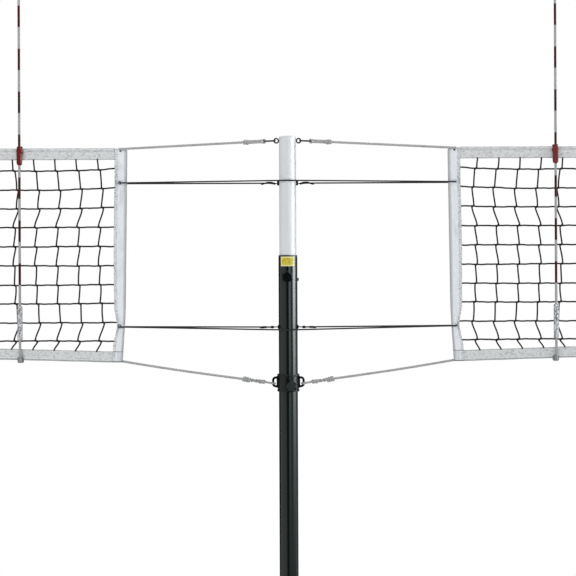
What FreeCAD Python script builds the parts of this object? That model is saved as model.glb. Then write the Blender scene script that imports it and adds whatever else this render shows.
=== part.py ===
import FreeCAD, Part
import math
import os
import re
import Sketcher

Vector = FreeCAD.Vector
Rotation = FreeCAD.Rotation
Placement = FreeCAD.Placement

UP = Vector(0, 0, 1)
OUT = Vector(1, 0, 0)
BACK = Vector(0, 1, 0)

# Centre post of a two-court volleyball system with the ends of its two nets.
# The origin is on the post's axis at the floor, +Z up, the nets lie along X and the front is -Y.
# Millimetres and degrees.
SIZES = {
    # lower tube, its foot plug and the bush at its mouth
    "lower_tube_across": 88.9,
    "lower_tube_wall": 3.0,
    "lower_tube_top": 1923.0,
    "insert_depth": 250.0,
    "floor_groove_gap": 1.0,
    "floor_groove_width": 3.0,
    "floor_groove_depth": 0.5,
    "plug_flange": 6.0,
    "plug_flange_step": 0.95,
    "plug_spigot_length": 35.0,
    "plug_spigot_wall": 5.3,
    "plug_drain_hole": 8.0,
    "press_gap": 0.1,
    "running_gap": 0.3,
    "bush_wall": 1.3,
    "bush_flange": 4.0,
    "bush_sleeve_length": 60.0,
    "bush_chamfer": 1.0,
    "label_angle": 89.0,
    "label_tall": 45.0,
    "label_below_top": 3.0,
    "label_thickness": 0.5,
    # height clamp: boss, stud, tip and knob
    "mast_knob_azimuth": -92.5,
    "mast_knob_drop": 100.0,
    "boss_across": 26.0,
    "boss_reach": 17.5,
    "stud_across": 12.0,
    "stud_tip_across": 10.0,
    "stud_tip_length": 2.9,
    "stud_hole_gap": 0.5,
    "stud_length": 43.0,
    "stud_chamfer": 1.0,
    "stud_tip_chamfer": 0.5,
    "knob_across": 57.0,
    "knob_gap": 2.0,
    "knob_hub_across": 30.0,
    "knob_hub_length": 10.0,
    "knob_head": 18.0,
    "knob_edge": 5.0,
    "knob_lobes": 6,
    "knob_scallop_across": 18.0,
    "knob_scallop_depth": 6.0,
    # pull pin and its housing
    "pin_azimuth": 52.0,
    "pin_drop": 109.0,
    "pin_nose_across": 8.0,
    "pin_nose_length": 12.0,
    "pin_rod_across": 5.0,
    "pin_spring_room": 12.0,
    "housing_hex": 19.0,
    "housing_hex_reach": 9.5,
    "housing_across": 16.0,
    "housing_end_wall": 3.0,
    "pull_knob_across": 16.0,
    "pull_knob_length": 10.5,
    "pull_knob_edge": 1.5,
    "pull_knob_floor": 2.0,
    # upper tube with its keyway, bush, cap and eye bolts
    "upper_tube_wall": 4.0,
    "upper_tube_foot": 1440.0,
    "upper_tube_top": 2480.0,
    "mast_rise": 100.0,
    "mast_drop": 300.0,
    "keyway_width": 10.0,
    "keyway_depth": 2.0,
    "keyway_spare": 4.0,
    "slide_bush_length": 60.0,
    "slide_bush_flange": 4.0,
    "cap_spigot": 5.0,
    "cap_rim": 3.0,
    "cap_edge": 2.4,
    "cap_edge_rise": 1.8,
    "cap_shoulder": 7.2,
    "cap_shoulder_rise": 3.2,
    "cap_dome": 4.0,
    "eye_below_top": 14.0,
    "eye_ring_radius": 10.0,
    "eye_ring_wire": 5.2,
    "eye_shank_across": 8.0,
    "eye_seat_gap": 0.25,
    "nut_across_flats": 13.0,
    "nut_thickness": 6.5,
    "washer_across": 16.0,
    "washer_thickness": 1.6,
    "shank_spare": 2.7,
    # ropes from the net's corners to the post
    "sling_across": 5.0,
    "sling_length": 49.0,
    "sling_fall": 4.6,
    "rope_across": 9.5,
    "rope_end_gap": 0.2,
    "top_bight_length": 65.0,
    "top_knot_length": 33.0,
    "top_knot_across": 27.0,
    "corner_knot_across": 12.5,
    "corner_rope_inset": 33.0,
    "corner_rope_drop": 9.0,
    "bottom_rise": 8.3,
    "bottom_bight_length": 36.0,
    "small_knot_length": 38.0,
    "small_knot_across": 22.0,
    "twist_length": 31.0,
    "twist_half_gap": 3.6,
    "bottom_knot_length": 44.0,
    "bottom_knot_across": 28.0,
    "far_rope_length": 60.0,
    "far_eye_radius": 15.0,
    "whipping_across": 13.5,
    "whipping_length": 25.0,
    # side bands with their rods and grommets
    "band_top": 2433.0,
    "band_foot": 1426.0,
    "band_top_edge": 753.0,
    "band_middle_edge": 760.0,
    "band_above_edge": 763.5,
    "band_pinch_edge": 768.0,
    "band_below_edge": 774.0,
    "band_foot_edge": 779.0,
    "band_top_width": 61.0,
    "band_neck_tuck": 2.0,
    "band_middle_width": 60.0,
    "band_above_width": 55.5,
    "band_pinch_width": 36.5,
    "band_below_width": 50.5,
    "band_foot_width": 47.0,
    "band_thickness": 22.0,
    "band_pinch_thickness": 17.0,
    "band_pinch_reach": 90.0,
    "rod_across": 10.0,
    "rod_top_inset": 13.0,
    "rod_foot_inset": 7.0,
    "rod_foot_rise": 74.0,
    "rod_top_drop": 5.0,
    "upper_grommet_in": 34.0,
    "upper_grommet_drop": 162.0,
    "lower_grommet_in": 24.5,
    "lower_grommet_rise": 170.0,
    "grommet_across": 18.0,
    "grommet_bore": 10.6,
    "grommet_wall": 1.0,
    "grommet_flange": 1.2,
    "far_band_edge": 1400.0,
    "far_band_width": 60.0,
    "far_band_rise": 14.0,
    # tapes and net
    "tape_thickness": 4.0,
    "tape_end_gap": 0.4,
    "top_tape_tall": 50.0,
    "top_cable_across": 10.0,
    "top_cable_drop": 12.0,
    "bottom_tape_tall": 52.0,
    "bottom_cable_across": 8.0,
    "bottom_tape_tilt": 1.68,
    "net_cord": 5.4,
    "net_edge_cord": 3.0,
    "net_columns": 6,
    "net_rows": 11,
    "first_column": 892.0,
    "column_pitch": 100.0,
    "first_row_drop": 105.0,
    "last_row_rise": 101.0,
    "knot_step": 8.0,
    # tension cords with their hooks and saddles
    "cord_across": 5.0,
    "cord_corner": 7.0,
    "cord_stand_off": 13.6,
    "cord_step": 2.5,
    "upper_crossing_drop": 155.0,
    "upper_hook_drop": 167.0,
    "lower_crossing_rise": 151.0,
    "lower_hook_rise": 164.4,
    "saddle_thickness": 3.0,
    "saddle_tall": 20.0,
    "saddle_wrap": 200.0,
    "upper_ear_reach": 10.0,
    "upper_ear_tall": 20.0,
    "lower_ear_reach": 5.5,
    "lower_ear_tall": 10.0,
    "ear_width": 12.0,
    "ear_socket_depth": 3.5,
    "hook_neck_across": 4.0,
    "slug_neck_length": 11.5,
    "slug_across": 8.8,
    "slug_length": 47.0,
    "slug_taper": 6.0,
    "hook_neck_length": 19.5,
    "hook_ball_across": 9.5,
    "hook_ball_length": 13.0,
    "hook_bar_across": 5.5,
    "hook_bar_length": 24.5,
    "hook_barrel_across": 8.6,
    "hook_barrel_length": 28.0,
    "hook_edge": 1.0,
    "hook_socket_depth": 4.3,
    # net collar with its D-rings and clamp screw
    "collar_drop": 138.7,
    "collar_tall": 82.3,
    "collar_wall": 3.25,
    "collar_bead_tall": 11.0,
    "collar_bead_proud": 2.8,
    "collar_scallops": 24,
    "collar_scallop_across": 8.0,
    "collar_scallop_depth": 1.3,
    "liner_wall": 1.4,
    "liner_tall": 70.0,
    "lug_proud": 6.0,
    "lug_width": 14.0,
    "lug_tall": 56.0,
    "d_ring_drop": 94.5,
    "d_ring_wire": 9.5,
    "d_ring_half_height": 20.5,
    "d_ring_reach": 16.0,
    "d_ring_corner": 12.0,
    "d_ring_socket_depth": 4.5,
    "d_ring_rope_drop": 6.5,
    "collar_knob_azimuth": -83.0,
    "collar_knob_drop": 110.4,
    "collar_stud_length": 37.0,
    "collar_boss_reach": 14.5,
    # antennas with their sleeves, hooks and clamps
    "antenna_place": 1259.0,
    "antenna_back_gap": 0.4,
    "antenna_across": 10.0,
    "antenna_length": 1800.0,
    "antenna_tip_across": 13.0,
    "antenna_tip_length": 26.0,
    "antenna_tip_wall": 2.0,
    "antenna_tip_edge": 1.0,
    "antenna_sleeve_across": 24.0,
    "antenna_sleeve_length": 160.0,
    "antenna_sleeve_rise": 102.0,
    "antenna_sleeve_edge": 2.0,
    "antenna_fit": 0.1,
    "foot_clip_width": 28.0,
    "foot_clip_wall": 3.0,
    "foot_clip_floor": 12.0,
    "foot_clip_tall": 27.0,
    "foot_clip_bulge": 3.0,
    "foot_socket_across": 17.5,
    "foot_socket_floor": 4.0,
    "clamp_width": 24.0,
    "clamp_tall": 87.0,
    "clamp_depth": 20.7,
    "clamp_rise": 7.0,
    "clamp_edge": 4.0,
    "clamp_shoulder": 5.0,
    "clamp_shoulder_tall": 30.0,
    "clamp_shoulder_drop": 10.0,
    "hinge_pin_across": 4.0,
    "hinge_barrel_across": 9.0,
    "hinge_barrel_length": 10.0,
    "hinge_behind": 2.0,
    "hinge_rise": 5.2,
    "jaw_width": 20.0,
    "jaw_tall": 60.0,
    "jaw_thickness": 4.0,
    "jaw_drop": 1.0,
    "jaw_web_lap": 2.0,
}

doc = FreeCAD.newDocument("volleyball_net")
sheet = doc.addObject("Spreadsheet::Sheet", "sizes")
for row, (name, value) in enumerate(SIZES.items(), 1):
    sheet.set("A%d" % row, name)
    sheet.set("B%d" % row, str(value))
    sheet.setAlias("B%d" % row, name)
doc.recompute()

# The sheet's values as numbers, for the pieces that are made with shape functions.
s = {name: float(sheet.get(name)) for name in SIZES}

NODES = []


def bound(text):
    """Point every size that an expression names at its cell of the sheet."""
    return re.sub(r"[a-z][a-z_]*", lambda w: "sizes." + w.group(0) if w.group(0) in SIZES else w.group(0), text)


def tie(piece, path, text):
    piece.setExpression(path, bound(text))


def place(piece, x="0", y="0", z="0", along=UP, turn=None):
    """Put a piece at x, y, z with its own Z axis along a direction, or turned about the post's axis."""
    piece.Placement = Placement(Vector(), Rotation(UP, along))
    for letter, text in zip("xyz", (x, y, z)):
        tie(piece, "Placement.Base." + letter, text)
    if turn:
        tie(piece, "Placement.Rotation.Angle", turn)
    return piece


def cylinder(label, radius, length, x="0", y="0", z="0", along=UP):
    piece = doc.addObject("Part::Cylinder", label)
    tie(piece, "Radius", radius)
    tie(piece, "Height", length)
    return place(piece, x, y, z, along)


def block(label, x, y, z):
    """A box between the pairs of places x, y and z."""
    piece = doc.addObject("Part::Box", label)
    for side, (low, high) in zip(("Length", "Width", "Height"), (x, y, z)):
        tie(piece, side, "(%s) - (%s)" % (high, low))
    return place(piece, x[0], y[0], z[0])


def fuse(label, *pieces):
    piece = doc.addObject("Part::MultiFuse", label)
    piece.Shapes = list(pieces)
    return piece


def cut(label, base, *tools):
    piece = doc.addObject("Part::Cut", label)
    piece.Base = base
    piece.Tool = tools[0] if len(tools) == 1 else fuse(label + "_tools", *tools)
    return piece


def group(label, *pieces):
    piece = doc.addObject("Part::Compound", label)
    piece.Links = list(pieces)
    return piece


def turned_to(label, piece, turn):
    """A piece made along X, turned about the post's axis to its azimuth."""
    holder = group(label, piece)
    tie(holder, "Placement.Rotation.Angle", turn)
    return holder


def mirrored(label, source):
    """The same piece on the post's other side."""
    piece = doc.addObject("Part::Mirroring", label)
    piece.Source = source
    piece.Normal = OUT
    return piece


def turning(label, outline, lying=False):
    """A body turned from a bound outline: (radius, height) about Z, or (place, radius) about X."""
    body = doc.addObject("PartDesign::Body", label)
    sketch = body.newObject("Sketcher::SketchObject", label + "_outline")
    plane = [part for part in body.Origin.OriginFeatures if part.Role == "XZ_Plane"][0]
    sketch.AttachmentSupport = (plane, [""])
    sketch.MapMode = "FlatFace"
    count = len(outline)
    spots = [Vector(10 + 7 * i, 3 + i * i, 0) for i in range(count)]
    for i in range(count):
        sketch.addGeometry(Part.LineSegment(spots[i], spots[(i + 1) % count]))
    for i in range(count):
        sketch.addConstraint(Sketcher.Constraint("Coincident", i, 2, (i + 1) % count, 1))
    for i, point in enumerate(outline):
        for kind, axis, text in zip(("DistanceX", "DistanceY"), (-2, -1), point):
            if text == "0":
                sketch.addConstraint(Sketcher.Constraint("PointOnObject", i, 1, axis))
            else:
                spot = sketch.addConstraint(Sketcher.Constraint(kind, -1, 1, i, 1, 5.0 + i))
                tie(sketch, "Constraints[%d]" % spot, text)
    turn = body.newObject("PartDesign::Revolution", label + "_turn")
    turn.Profile = sketch
    turn.ReferenceAxis = (sketch, ["H_Axis" if lying else "V_Axis"])
    turn.Angle = 360
    return body


def made(label, shape):
    """A piece whose shape is made with shape functions from the sheet's values."""
    piece = doc.addObject("Part::Feature", label)
    piece.Shape = shape
    piece.Placement = Placement()
    return piece


def bevelled(label, base, reach, picked):
    """A piece with the edges that picked chooses bevelled."""
    doc.recompute()
    piece = doc.addObject("Part::Chamfer", label)
    piece.Base = base
    piece.Edges = [(i, reach, reach) for i, edge in enumerate(base.Shape.Edges, 1) if picked(edge)]
    return piece


def node(piece):
    NODES.append(piece)
    return piece


def flip(point):
    return Vector(-point.x, point.y, point.z)


def path(points, radii):
    """Straight runs joined by tangent arcs, one radius for each inner point."""
    edges = []
    start = points[0]
    for i, radius in enumerate(radii, 1):
        before = (points[i - 1] - points[i]).normalize()
        after = (points[i + 1] - points[i]).normalize()
        half_turn = (math.pi - before.getAngle(after)) / 2
        reach = radius * math.tan(half_turn)
        enter = points[i] + before * reach
        leave = points[i] + after * reach
        middle = points[i] + (before + after).normalize() * (radius / math.cos(half_turn) - radius)
        if (enter - start).Length > 0.001:
            edges.append(Part.LineSegment(start, enter).toShape())
        edges.append(Part.Arc(enter, middle, leave).toShape())
        start = leave
    edges.append(Part.LineSegment(start, points[-1]).toShape())
    return Part.Wire(edges)


def eight_sided(centre, side, over, across):
    """An eight-sided section that fits a cord, for loops so small that a round one adds nothing."""
    corners = []
    for i in range(8):
        turn = math.radians(45 * i)
        corners.append(centre + (side * math.cos(turn) + over * math.sin(turn)) * (across / 2))
    return Part.makePolygon(corners + corners[:1])


def tube(label, points, radii, across, small=False):
    """A tube along a path, round or for a small loop eight-sided, with its volume compared."""
    line = path(points, radii)
    ahead = (points[1] - points[0]).normalize()
    if small:
        over = ahead.cross(points[2] - points[1]).normalize()
        ring = eight_sided(points[0], ahead.cross(over), over, across)
    else:
        ring = Part.Wire(Part.Circle(points[0], ahead, across / 2).toShape())
    shape = line.makePipeShell([ring], True, False)
    share = shape.Volume / (Part.Face(ring).Area * line.Length)
    print("%s: length %.1f, radii %s, volume share %.4f" % (label, line.Length, [round(r, 1) for r in radii], share))
    return shape


# Radii and heights that several pieces share.
lower_r = "(lower_tube_across / 2)"
lower_bore = "(lower_tube_across / 2 - lower_tube_wall)"
tube_foot = "(plug_flange - insert_depth)"
upper_r = "(lower_tube_across / 2 - lower_tube_wall - press_gap - bush_wall - running_gap)"
upper_bore = "(%s - upper_tube_wall)" % upper_r
mast_knob_height = "(lower_tube_top - mast_knob_drop)"
pin_height = "(lower_tube_top - pin_drop)"
collar_foot = "(band_foot - collar_drop)"
collar_knob_height = "(band_foot - collar_knob_drop)"
d_ring_height = "(band_foot - d_ring_drop)"
upper_hook_height = "(band_top - upper_hook_drop)"
lower_hook_height = "(band_foot + lower_hook_rise)"
LOWER_R = s["lower_tube_across"] / 2
LOWER_BORE = LOWER_R - s["lower_tube_wall"]
UPPER_R = LOWER_BORE - s["press_gap"] - s["bush_wall"] - s["running_gap"]

# Lower tube: a black aluminium extrusion with a groove that marks the floor, and the holes of the
# clamp screw and the pull pin.
groove_foot = "floor_groove_gap"
groove_top = "floor_groove_gap + floor_groove_width"
groove_r = lower_r + " - floor_groove_depth"
lower_stock = turning("lower_tube_stock", [
    (lower_bore, tube_foot),
    (lower_r, tube_foot),
    (lower_r, groove_foot),
    (groove_r, groove_foot),
    (groove_r, groove_top),
    (lower_r, groove_top),
    (lower_r, "lower_tube_top"),
    (lower_bore, "lower_tube_top"),
])
stud_hole = turned_to("stud_hole", cylinder(
    "stud_drill", "stud_across / 2 + stud_hole_gap", "lower_tube_across", z=mast_knob_height, along=OUT),
    "mast_knob_azimuth")
pin_hole = turned_to("pin_hole", cylinder(
    "pin_drill", "pin_nose_across / 2 + stud_hole_gap", "lower_tube_across", z=pin_height, along=OUT),
    "pin_azimuth")
node(cut("lower_tube", lower_stock, stud_hole, pin_hole))

# Foot plug: a moulded cup pressed into the tube's foot, with a drain hole.
plug_r = lower_bore + " - press_gap"
plug_bore = plug_r + " - plug_spigot_wall"
node(turning("foot_plug", [
    ("plug_drain_hole / 2", "0 - insert_depth"),
    (lower_r + " - plug_flange_step", "0 - insert_depth"),
    (lower_r + " - plug_flange_step", tube_foot),
    (plug_r, tube_foot),
    (plug_r, tube_foot + " + plug_spigot_length"),
    (plug_bore, tube_foot + " + plug_spigot_length"),
    (plug_bore, tube_foot),
    ("plug_drain_hole / 2", tube_foot),
]))

# Guide bush: a flanged nylon sleeve at the lower tube's mouth, in which the mast slides.
bush_bore = upper_r + " + running_gap"
bush_r = lower_bore + " - press_gap"
node(turning("guide_bush", [
    (bush_bore, "lower_tube_top - bush_sleeve_length"),
    (bush_r, "lower_tube_top - bush_sleeve_length"),
    (bush_r, "lower_tube_top"),
    (lower_r, "lower_tube_top"),
    (lower_r, "lower_tube_top + bush_flange - bush_chamfer"),
    (lower_r + " - bush_chamfer", "lower_tube_top + bush_flange"),
    (bush_bore, "lower_tube_top + bush_flange"),
]))

# Label plate: a thin curved plate, bare, above the clamp.
label_foot = "lower_tube_top - label_below_top - label_tall"
label_stock = cylinder("label_stock", lower_r + " + label_thickness", "label_tall", z=label_foot)
tie(label_stock, "Angle", "label_angle")
label_core = cylinder("label_core", lower_r + " + press_gap / 2", "label_tall", z=label_foot)
label = node(cut("label_plate", label_stock, label_core))
tie(label, "Placement.Rotation.Angle", "mast_knob_azimuth - label_angle / 2")


def boss(label, height, reach, bore_extra):
    """The stock of a round boss along X, and the drill of its bore."""
    stock = cylinder(label + "_stock", "boss_across / 2", reach, z=height, along=OUT)
    drill = cylinder(label + "_drill", "stud_across / 2 + " + bore_extra, reach + " + knob_gap", z=height, along=OUT)
    return stock, drill


# Mast boss: a threaded boss welded on the lower tube, saddled to its wall.
stock, drill = boss("mast_boss", mast_knob_height, lower_r + " + boss_reach", "running_gap")
saddle = cylinder("mast_boss_saddle", lower_r, "boss_across * 2", z=mast_knob_height + " - boss_across")
mast_boss = node(cut("mast_boss", stock, drill, saddle))
tie(mast_boss, "Placement.Rotation.Angle", "mast_knob_azimuth")

# Clamp screw of the mast: a steel stud with a soft tip that bears on the mast.
tip_start = upper_r + " + running_gap"
stud_start = tip_start + " + stud_tip_length"
stud = turning("mast_stud", [
    (stud_start, "0"),
    (stud_start, "stud_across / 2 - stud_chamfer"),
    (stud_start + " + stud_chamfer", "stud_across / 2"),
    (stud_start + " + stud_length", "stud_across / 2"),
    (stud_start + " + stud_length", "0"),
], lying=True)
node(place(stud, z=mast_knob_height, turn="mast_knob_azimuth"))
tip = turning("mast_stud_tip", [
    (tip_start, "0"),
    (tip_start, "stud_tip_across / 2 - stud_tip_chamfer"),
    (tip_start + " + stud_tip_chamfer", "stud_tip_across / 2"),
    (stud_start, "stud_tip_across / 2"),
    (stud_start, "0"),
], lying=True)
node(place(tip, z=mast_knob_height, turn="mast_knob_azimuth"))


def star_knob(label, start, stud_end, height, azimuth):
    """A moulded star knob along X: a hub, a head with scallops between its lobes, a blind bore."""
    head = start + " + knob_hub_length"
    face = head + " + knob_head"
    stock = turning(label + "_stock", [
        (start, "stud_across / 2 + press_gap / 2"),
        (start, "knob_hub_across / 2"),
        (head, "knob_hub_across / 2"),
        (head, "knob_across / 2 - knob_edge / 2"),
        (head + " + knob_edge / 2", "knob_across / 2"),
        (face + " - knob_edge", "knob_across / 2"),
        (face + " - knob_edge / 3", "knob_across / 2 - knob_edge / 2"),
        (face, "knob_across / 2 - knob_edge * 1.5"),
        (face, "0"),
        (stud_end, "0"),
        (stud_end, "stud_across / 2 + press_gap / 2"),
    ], lying=True)
    scallops = []
    lobes = int(s["knob_lobes"])
    for i in range(lobes):
        scallop = cylinder("%s_scallop_%d" % (label, i), "knob_scallop_across / 2", "knob_head + knob_gap", along=OUT)
        turn = "(%d + 0.5) * 360 / %d" % (i, lobes)
        reach = "(knob_across / 2 + knob_scallop_across / 2 - knob_scallop_depth)"
        tie(scallop, "Placement.Base.x", head + " - knob_gap / 2")
        tie(scallop, "Placement.Base.y", "%s * sin(%s)" % (reach, turn))
        tie(scallop, "Placement.Base.z", "%s * cos(%s)" % (reach, turn))
        scallops.append(scallop)
    knob = cut(label, stock, *scallops)
    return node(place(knob, z=height, turn=azimuth))


mast_knob_start = lower_r + " + boss_reach + knob_gap"
star_knob("mast_knob", mast_knob_start, stud_start + " + stud_length", mast_knob_height, "mast_knob_azimuth")

# Pull pin: a sprung pin whose nose rides in the mast's keyway, so that the mast neither turns nor
# leaves the tube. Its housing is screwed on the lower tube.
nose_start = upper_r + " - keyway_depth + running_gap"
nose_end = nose_start + " + pin_nose_length"
housing_bore_end = nose_end + " + pin_spring_room"
housing_end = housing_bore_end + " + housing_end_wall"
hex_stock = doc.addObject("Part::Prism", "housing_hex_stock")
hex_stock.Polygon = 6
tie(hex_stock, "Circumradius", "housing_hex / 2 / cos(30)")
tie(hex_stock, "Height", lower_r + " + housing_hex_reach")
place(hex_stock, z=pin_height, along=OUT)
housing_stock = fuse(
    "pin_housing_stock", hex_stock,
    cylinder("housing_barrel", "housing_across / 2", housing_end, z=pin_height, along=OUT))
housing = node(cut(
    "pin_housing", housing_stock,
    cylinder("housing_saddle", lower_r, "housing_hex * 2", z=pin_height + " - housing_hex"),
    cylinder("housing_bore", "pin_nose_across / 2 + running_gap", housing_bore_end, z=pin_height, along=OUT),
    cylinder("housing_rod_hole", "pin_rod_across / 2 + running_gap", housing_end + " + knob_gap", z=pin_height,
             along=OUT)))
tie(housing, "Placement.Rotation.Angle", "pin_azimuth")

pull_knob_start = housing_end + " + running_gap"
pull_knob_end = pull_knob_start + " + pull_knob_length"
pin = turning("pull_pin", [
    (nose_start, "0"),
    (nose_start, "pin_nose_across / 2 - stud_chamfer"),
    (nose_start + " + stud_chamfer", "pin_nose_across / 2"),
    (nose_end, "pin_nose_across / 2"),
    (nose_end, "pin_rod_across / 2"),
    (pull_knob_end + " - pull_knob_floor", "pin_rod_across / 2"),
    (pull_knob_end + " - pull_knob_floor", "0"),
], lying=True)
node(place(pin, z=pin_height, turn="pin_azimuth"))
pull_knob = turning("pull_pin_knob", [
    (pull_knob_start, "pin_rod_across / 2 + press_gap / 2"),
    (pull_knob_start, "pull_knob_across / 2 - pull_knob_edge * 2"),
    (pull_knob_start + " + pull_knob_edge * 2", "pull_knob_across / 2 - pull_knob_edge"),
    (pull_knob_end + " - pull_knob_edge * 2", "pull_knob_across / 2"),
    (pull_knob_end + " - pull_knob_edge", "pull_knob_across / 2"),
    (pull_knob_end, "pull_knob_across / 2 - pull_knob_edge"),
    (pull_knob_end, "0"),
    (pull_knob_end + " - pull_knob_floor", "0"),
    (pull_knob_end + " - pull_knob_floor", "pin_rod_across / 2 + press_gap / 2"),
], lying=True)
node(place(pull_knob, z=pin_height, turn="pin_azimuth"))
spring = turning("pin_spring", [
    (nose_end + " + press_gap", "pin_rod_across / 2 + running_gap"),
    (nose_end + " + press_gap", "pin_nose_across / 2"),
    (housing_bore_end + " - press_gap", "pin_nose_across / 2"),
    (housing_bore_end + " - press_gap", "pin_rod_across / 2 + running_gap"),
], lying=True)
node(place(spring, z=pin_height, turn="pin_azimuth"))

# Upper tube: the satin mast, with the keyway of the pull pin and the holes of the eye bolts.
mast_stock = turning("upper_tube_stock", [
    (upper_bore, "upper_tube_foot"),
    (upper_r, "upper_tube_foot"),
    (upper_r, "upper_tube_top"),
    (upper_bore, "upper_tube_top"),
])
keyway = turned_to("keyway", block(
    "keyway_mill",
    (upper_r + " - keyway_depth", lower_r),
    ("0 - keyway_width / 2", "keyway_width / 2"),
    (pin_height + " - mast_rise - pin_nose_across / 2 - keyway_spare",
     pin_height + " + mast_drop + pin_nose_across / 2 + keyway_spare")), "pin_azimuth")
eye_height = "upper_tube_top - eye_below_top"
eye_drill = cylinder(
    "eye_drill", "eye_shank_across / 2 + running_gap", "lower_tube_across * 2", x="0 - lower_tube_across",
    z=eye_height, along=OUT)
node(cut("upper_tube", mast_stock, keyway, eye_drill))

# Slide bush: a nylon sleeve on the mast's foot that runs in the lower tube.
slide_r = lower_bore + " - running_gap"
node(turning("slide_bush", [
    (upper_bore, "upper_tube_foot - slide_bush_flange"),
    (slide_r, "upper_tube_foot - slide_bush_flange"),
    (slide_r, "upper_tube_foot + slide_bush_length"),
    (upper_r + " + press_gap / 2", "upper_tube_foot + slide_bush_length"),
    (upper_r + " + press_gap / 2", "upper_tube_foot"),
    (upper_bore, "upper_tube_foot"),
]))

# Top cap: a moulded cap with a low dome, pressed into the mast.
cap_r = upper_bore + " - press_gap"
node(turning("top_cap", [
    ("0", "upper_tube_top - cap_spigot"),
    (cap_r, "upper_tube_top - cap_spigot"),
    (cap_r, "upper_tube_top"),
    (upper_r, "upper_tube_top"),
    (upper_r, "upper_tube_top + cap_rim"),
    (upper_r + " - cap_edge", "upper_tube_top + cap_rim + cap_edge_rise"),
    (upper_r + " - cap_shoulder", "upper_tube_top + cap_rim + cap_shoulder_rise"),
    ("0", "upper_tube_top + cap_rim + cap_dome"),
]))

# Eye bolts through the mast, each with a washer and a nut inside it.
eye_centre = upper_r + " + eye_seat_gap + eye_ring_wire / 2 + eye_ring_radius"
washer_out = "(sqrt(%s ^ 2 - (washer_across / 2) ^ 2) - press_gap / 2)" % upper_bore
nut_out = "(%s - washer_thickness)" % washer_out
shank_end = "(%s - nut_thickness - shank_spare)" % nut_out
wire_side = "eye_ring_wire / 2 * cos(45)"
ring = turning("eye_ring", [
    ("eye_ring_radius", "0 - eye_ring_wire / 2"),
    ("eye_ring_radius + " + wire_side, "0 - " + wire_side),
    ("eye_ring_radius + eye_ring_wire / 2", "0"),
    ("eye_ring_radius + " + wire_side, wire_side),
    ("eye_ring_radius", "eye_ring_wire / 2"),
    ("eye_ring_radius - " + wire_side, wire_side),
    ("eye_ring_radius - eye_ring_wire / 2", "0"),
    ("eye_ring_radius - " + wire_side, "0 - " + wire_side),
])
place(ring, x=eye_centre, z=eye_height, along=BACK)
shank = cylinder(
    "eye_shank", "eye_shank_across / 2", "%s - eye_ring_radius - %s" % (eye_centre, shank_end), x=shank_end,
    z=eye_height, along=OUT)
eye_right = fuse("eye_bolt_right", ring, shank)
node(mirrored("eye_bolt_left", eye_right))
node(eye_right)
nut_stock = doc.addObject("Part::Prism", "nut_stock")
nut_stock.Polygon = 6
tie(nut_stock, "Circumradius", "nut_across_flats / 2 / cos(30)")
tie(nut_stock, "Height", "nut_thickness - press_gap")
place(nut_stock, x=nut_out + " - nut_thickness", z=eye_height, along=OUT)
washer_stock = cylinder(
    "washer_stock", "washer_across / 2", "washer_thickness", x=nut_out, z=eye_height, along=OUT)
nut_tap = cylinder("nut_tap", "eye_shank_across / 2 + press_gap", upper_r, z=eye_height, along=OUT)
nuts_right = group("nuts_right", cut("nut", nut_stock, nut_tap), cut("washer", washer_stock, nut_tap))
node(group("eye_bolt_nuts", mirrored("nuts_left", nuts_right), nuts_right))


def along_line(start, degrees):
    """A function that gives the point at a distance along a rising line, offset in Y and square to it."""
    slope = math.radians(degrees)
    run = Vector(math.cos(slope), 0, math.sin(slope))
    rise = Vector(-math.sin(slope), 0, math.cos(slope))

    def at(distance, aside=0.0, above=0.0):
        return start + run * distance + rise * above + Vector(0, aside, 0)

    return at


KNOT_NECK = 0.62
KNOT_SHOULDER = 0.2


def knot(start, end, across):
    """A pulled-tight knot: a barrel whose belly swells between two necks."""
    axis = end - start
    length = axis.Length
    neck = across * KNOT_NECK
    shoulder = length * KNOT_SHOULDER
    outline = [(0, neck), (shoulder, across), (length - shoulder, across), (length, neck)]
    rings = []
    for distance, width in outline:
        centre = start + axis * (distance / length)
        rings.append(Part.Wire(Part.Circle(centre, axis, width / 2).toShape()))
    return Part.makeLoft(rings, True, True)


# Top corner ropes. A sling through the eye bolt's ring holds the bight of the rope, and a knot closes it.
ROPE = s["rope_across"]
SLING = s["sling_across"]
EYE_X = UPPER_R + s["eye_seat_gap"] + s["eye_ring_wire"] / 2 + s["eye_ring_radius"]
EYE_Z = s["upper_tube_top"] - s["eye_below_top"]
sling_at = along_line(Vector(EYE_X + s["eye_ring_radius"], 0, EYE_Z), -s["sling_fall"])
half_gap = ROPE / 2 + s["running_gap"] + SLING / 2
sling_back = -(s["eye_ring_wire"] / 2 + s["running_gap"] + SLING / 2)
sling_end = s["sling_length"]
middle = (sling_end + sling_back) / 2


def bight(label, at, centre, radius, knot_start, upright):
    """A doubled rope: a half turn about a centre, whose two strands close up towards a knot."""
    narrow = ROPE / 2 + s["press_gap"]
    start = knot_start + ROPE
    lean = math.asin(radius / math.hypot(start - centre, narrow)) - math.atan2(narrow, start - centre)
    wide = radius * math.tan(math.pi / 4 + lean / 2)
    back = centre - radius
    spots = []
    for distance, offset in ((start, narrow), (back, wide), (back, -wide), (start, -narrow)):
        spots.append(at(distance, 0, offset) if upright else at(distance, offset))
    return tube(label, spots, [radius] * 2, ROPE, True)


near_half = tube("top_sling, post side", [
    sling_at(middle, half_gap), sling_at(sling_back, half_gap), sling_at(sling_back, -half_gap),
    sling_at(middle, -half_gap)], [half_gap] * 2, SLING, True)
far_half = tube("top_sling, rope side", [
    sling_at(middle, -half_gap), sling_at(sling_end, -half_gap), sling_at(sling_end, half_gap),
    sling_at(middle, half_gap)], [half_gap] * 2, SLING, True)
sling_right = made("top_sling_right", near_half.fuse(far_half))
node(mirrored("top_sling_left", sling_right))
node(sling_right)

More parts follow.
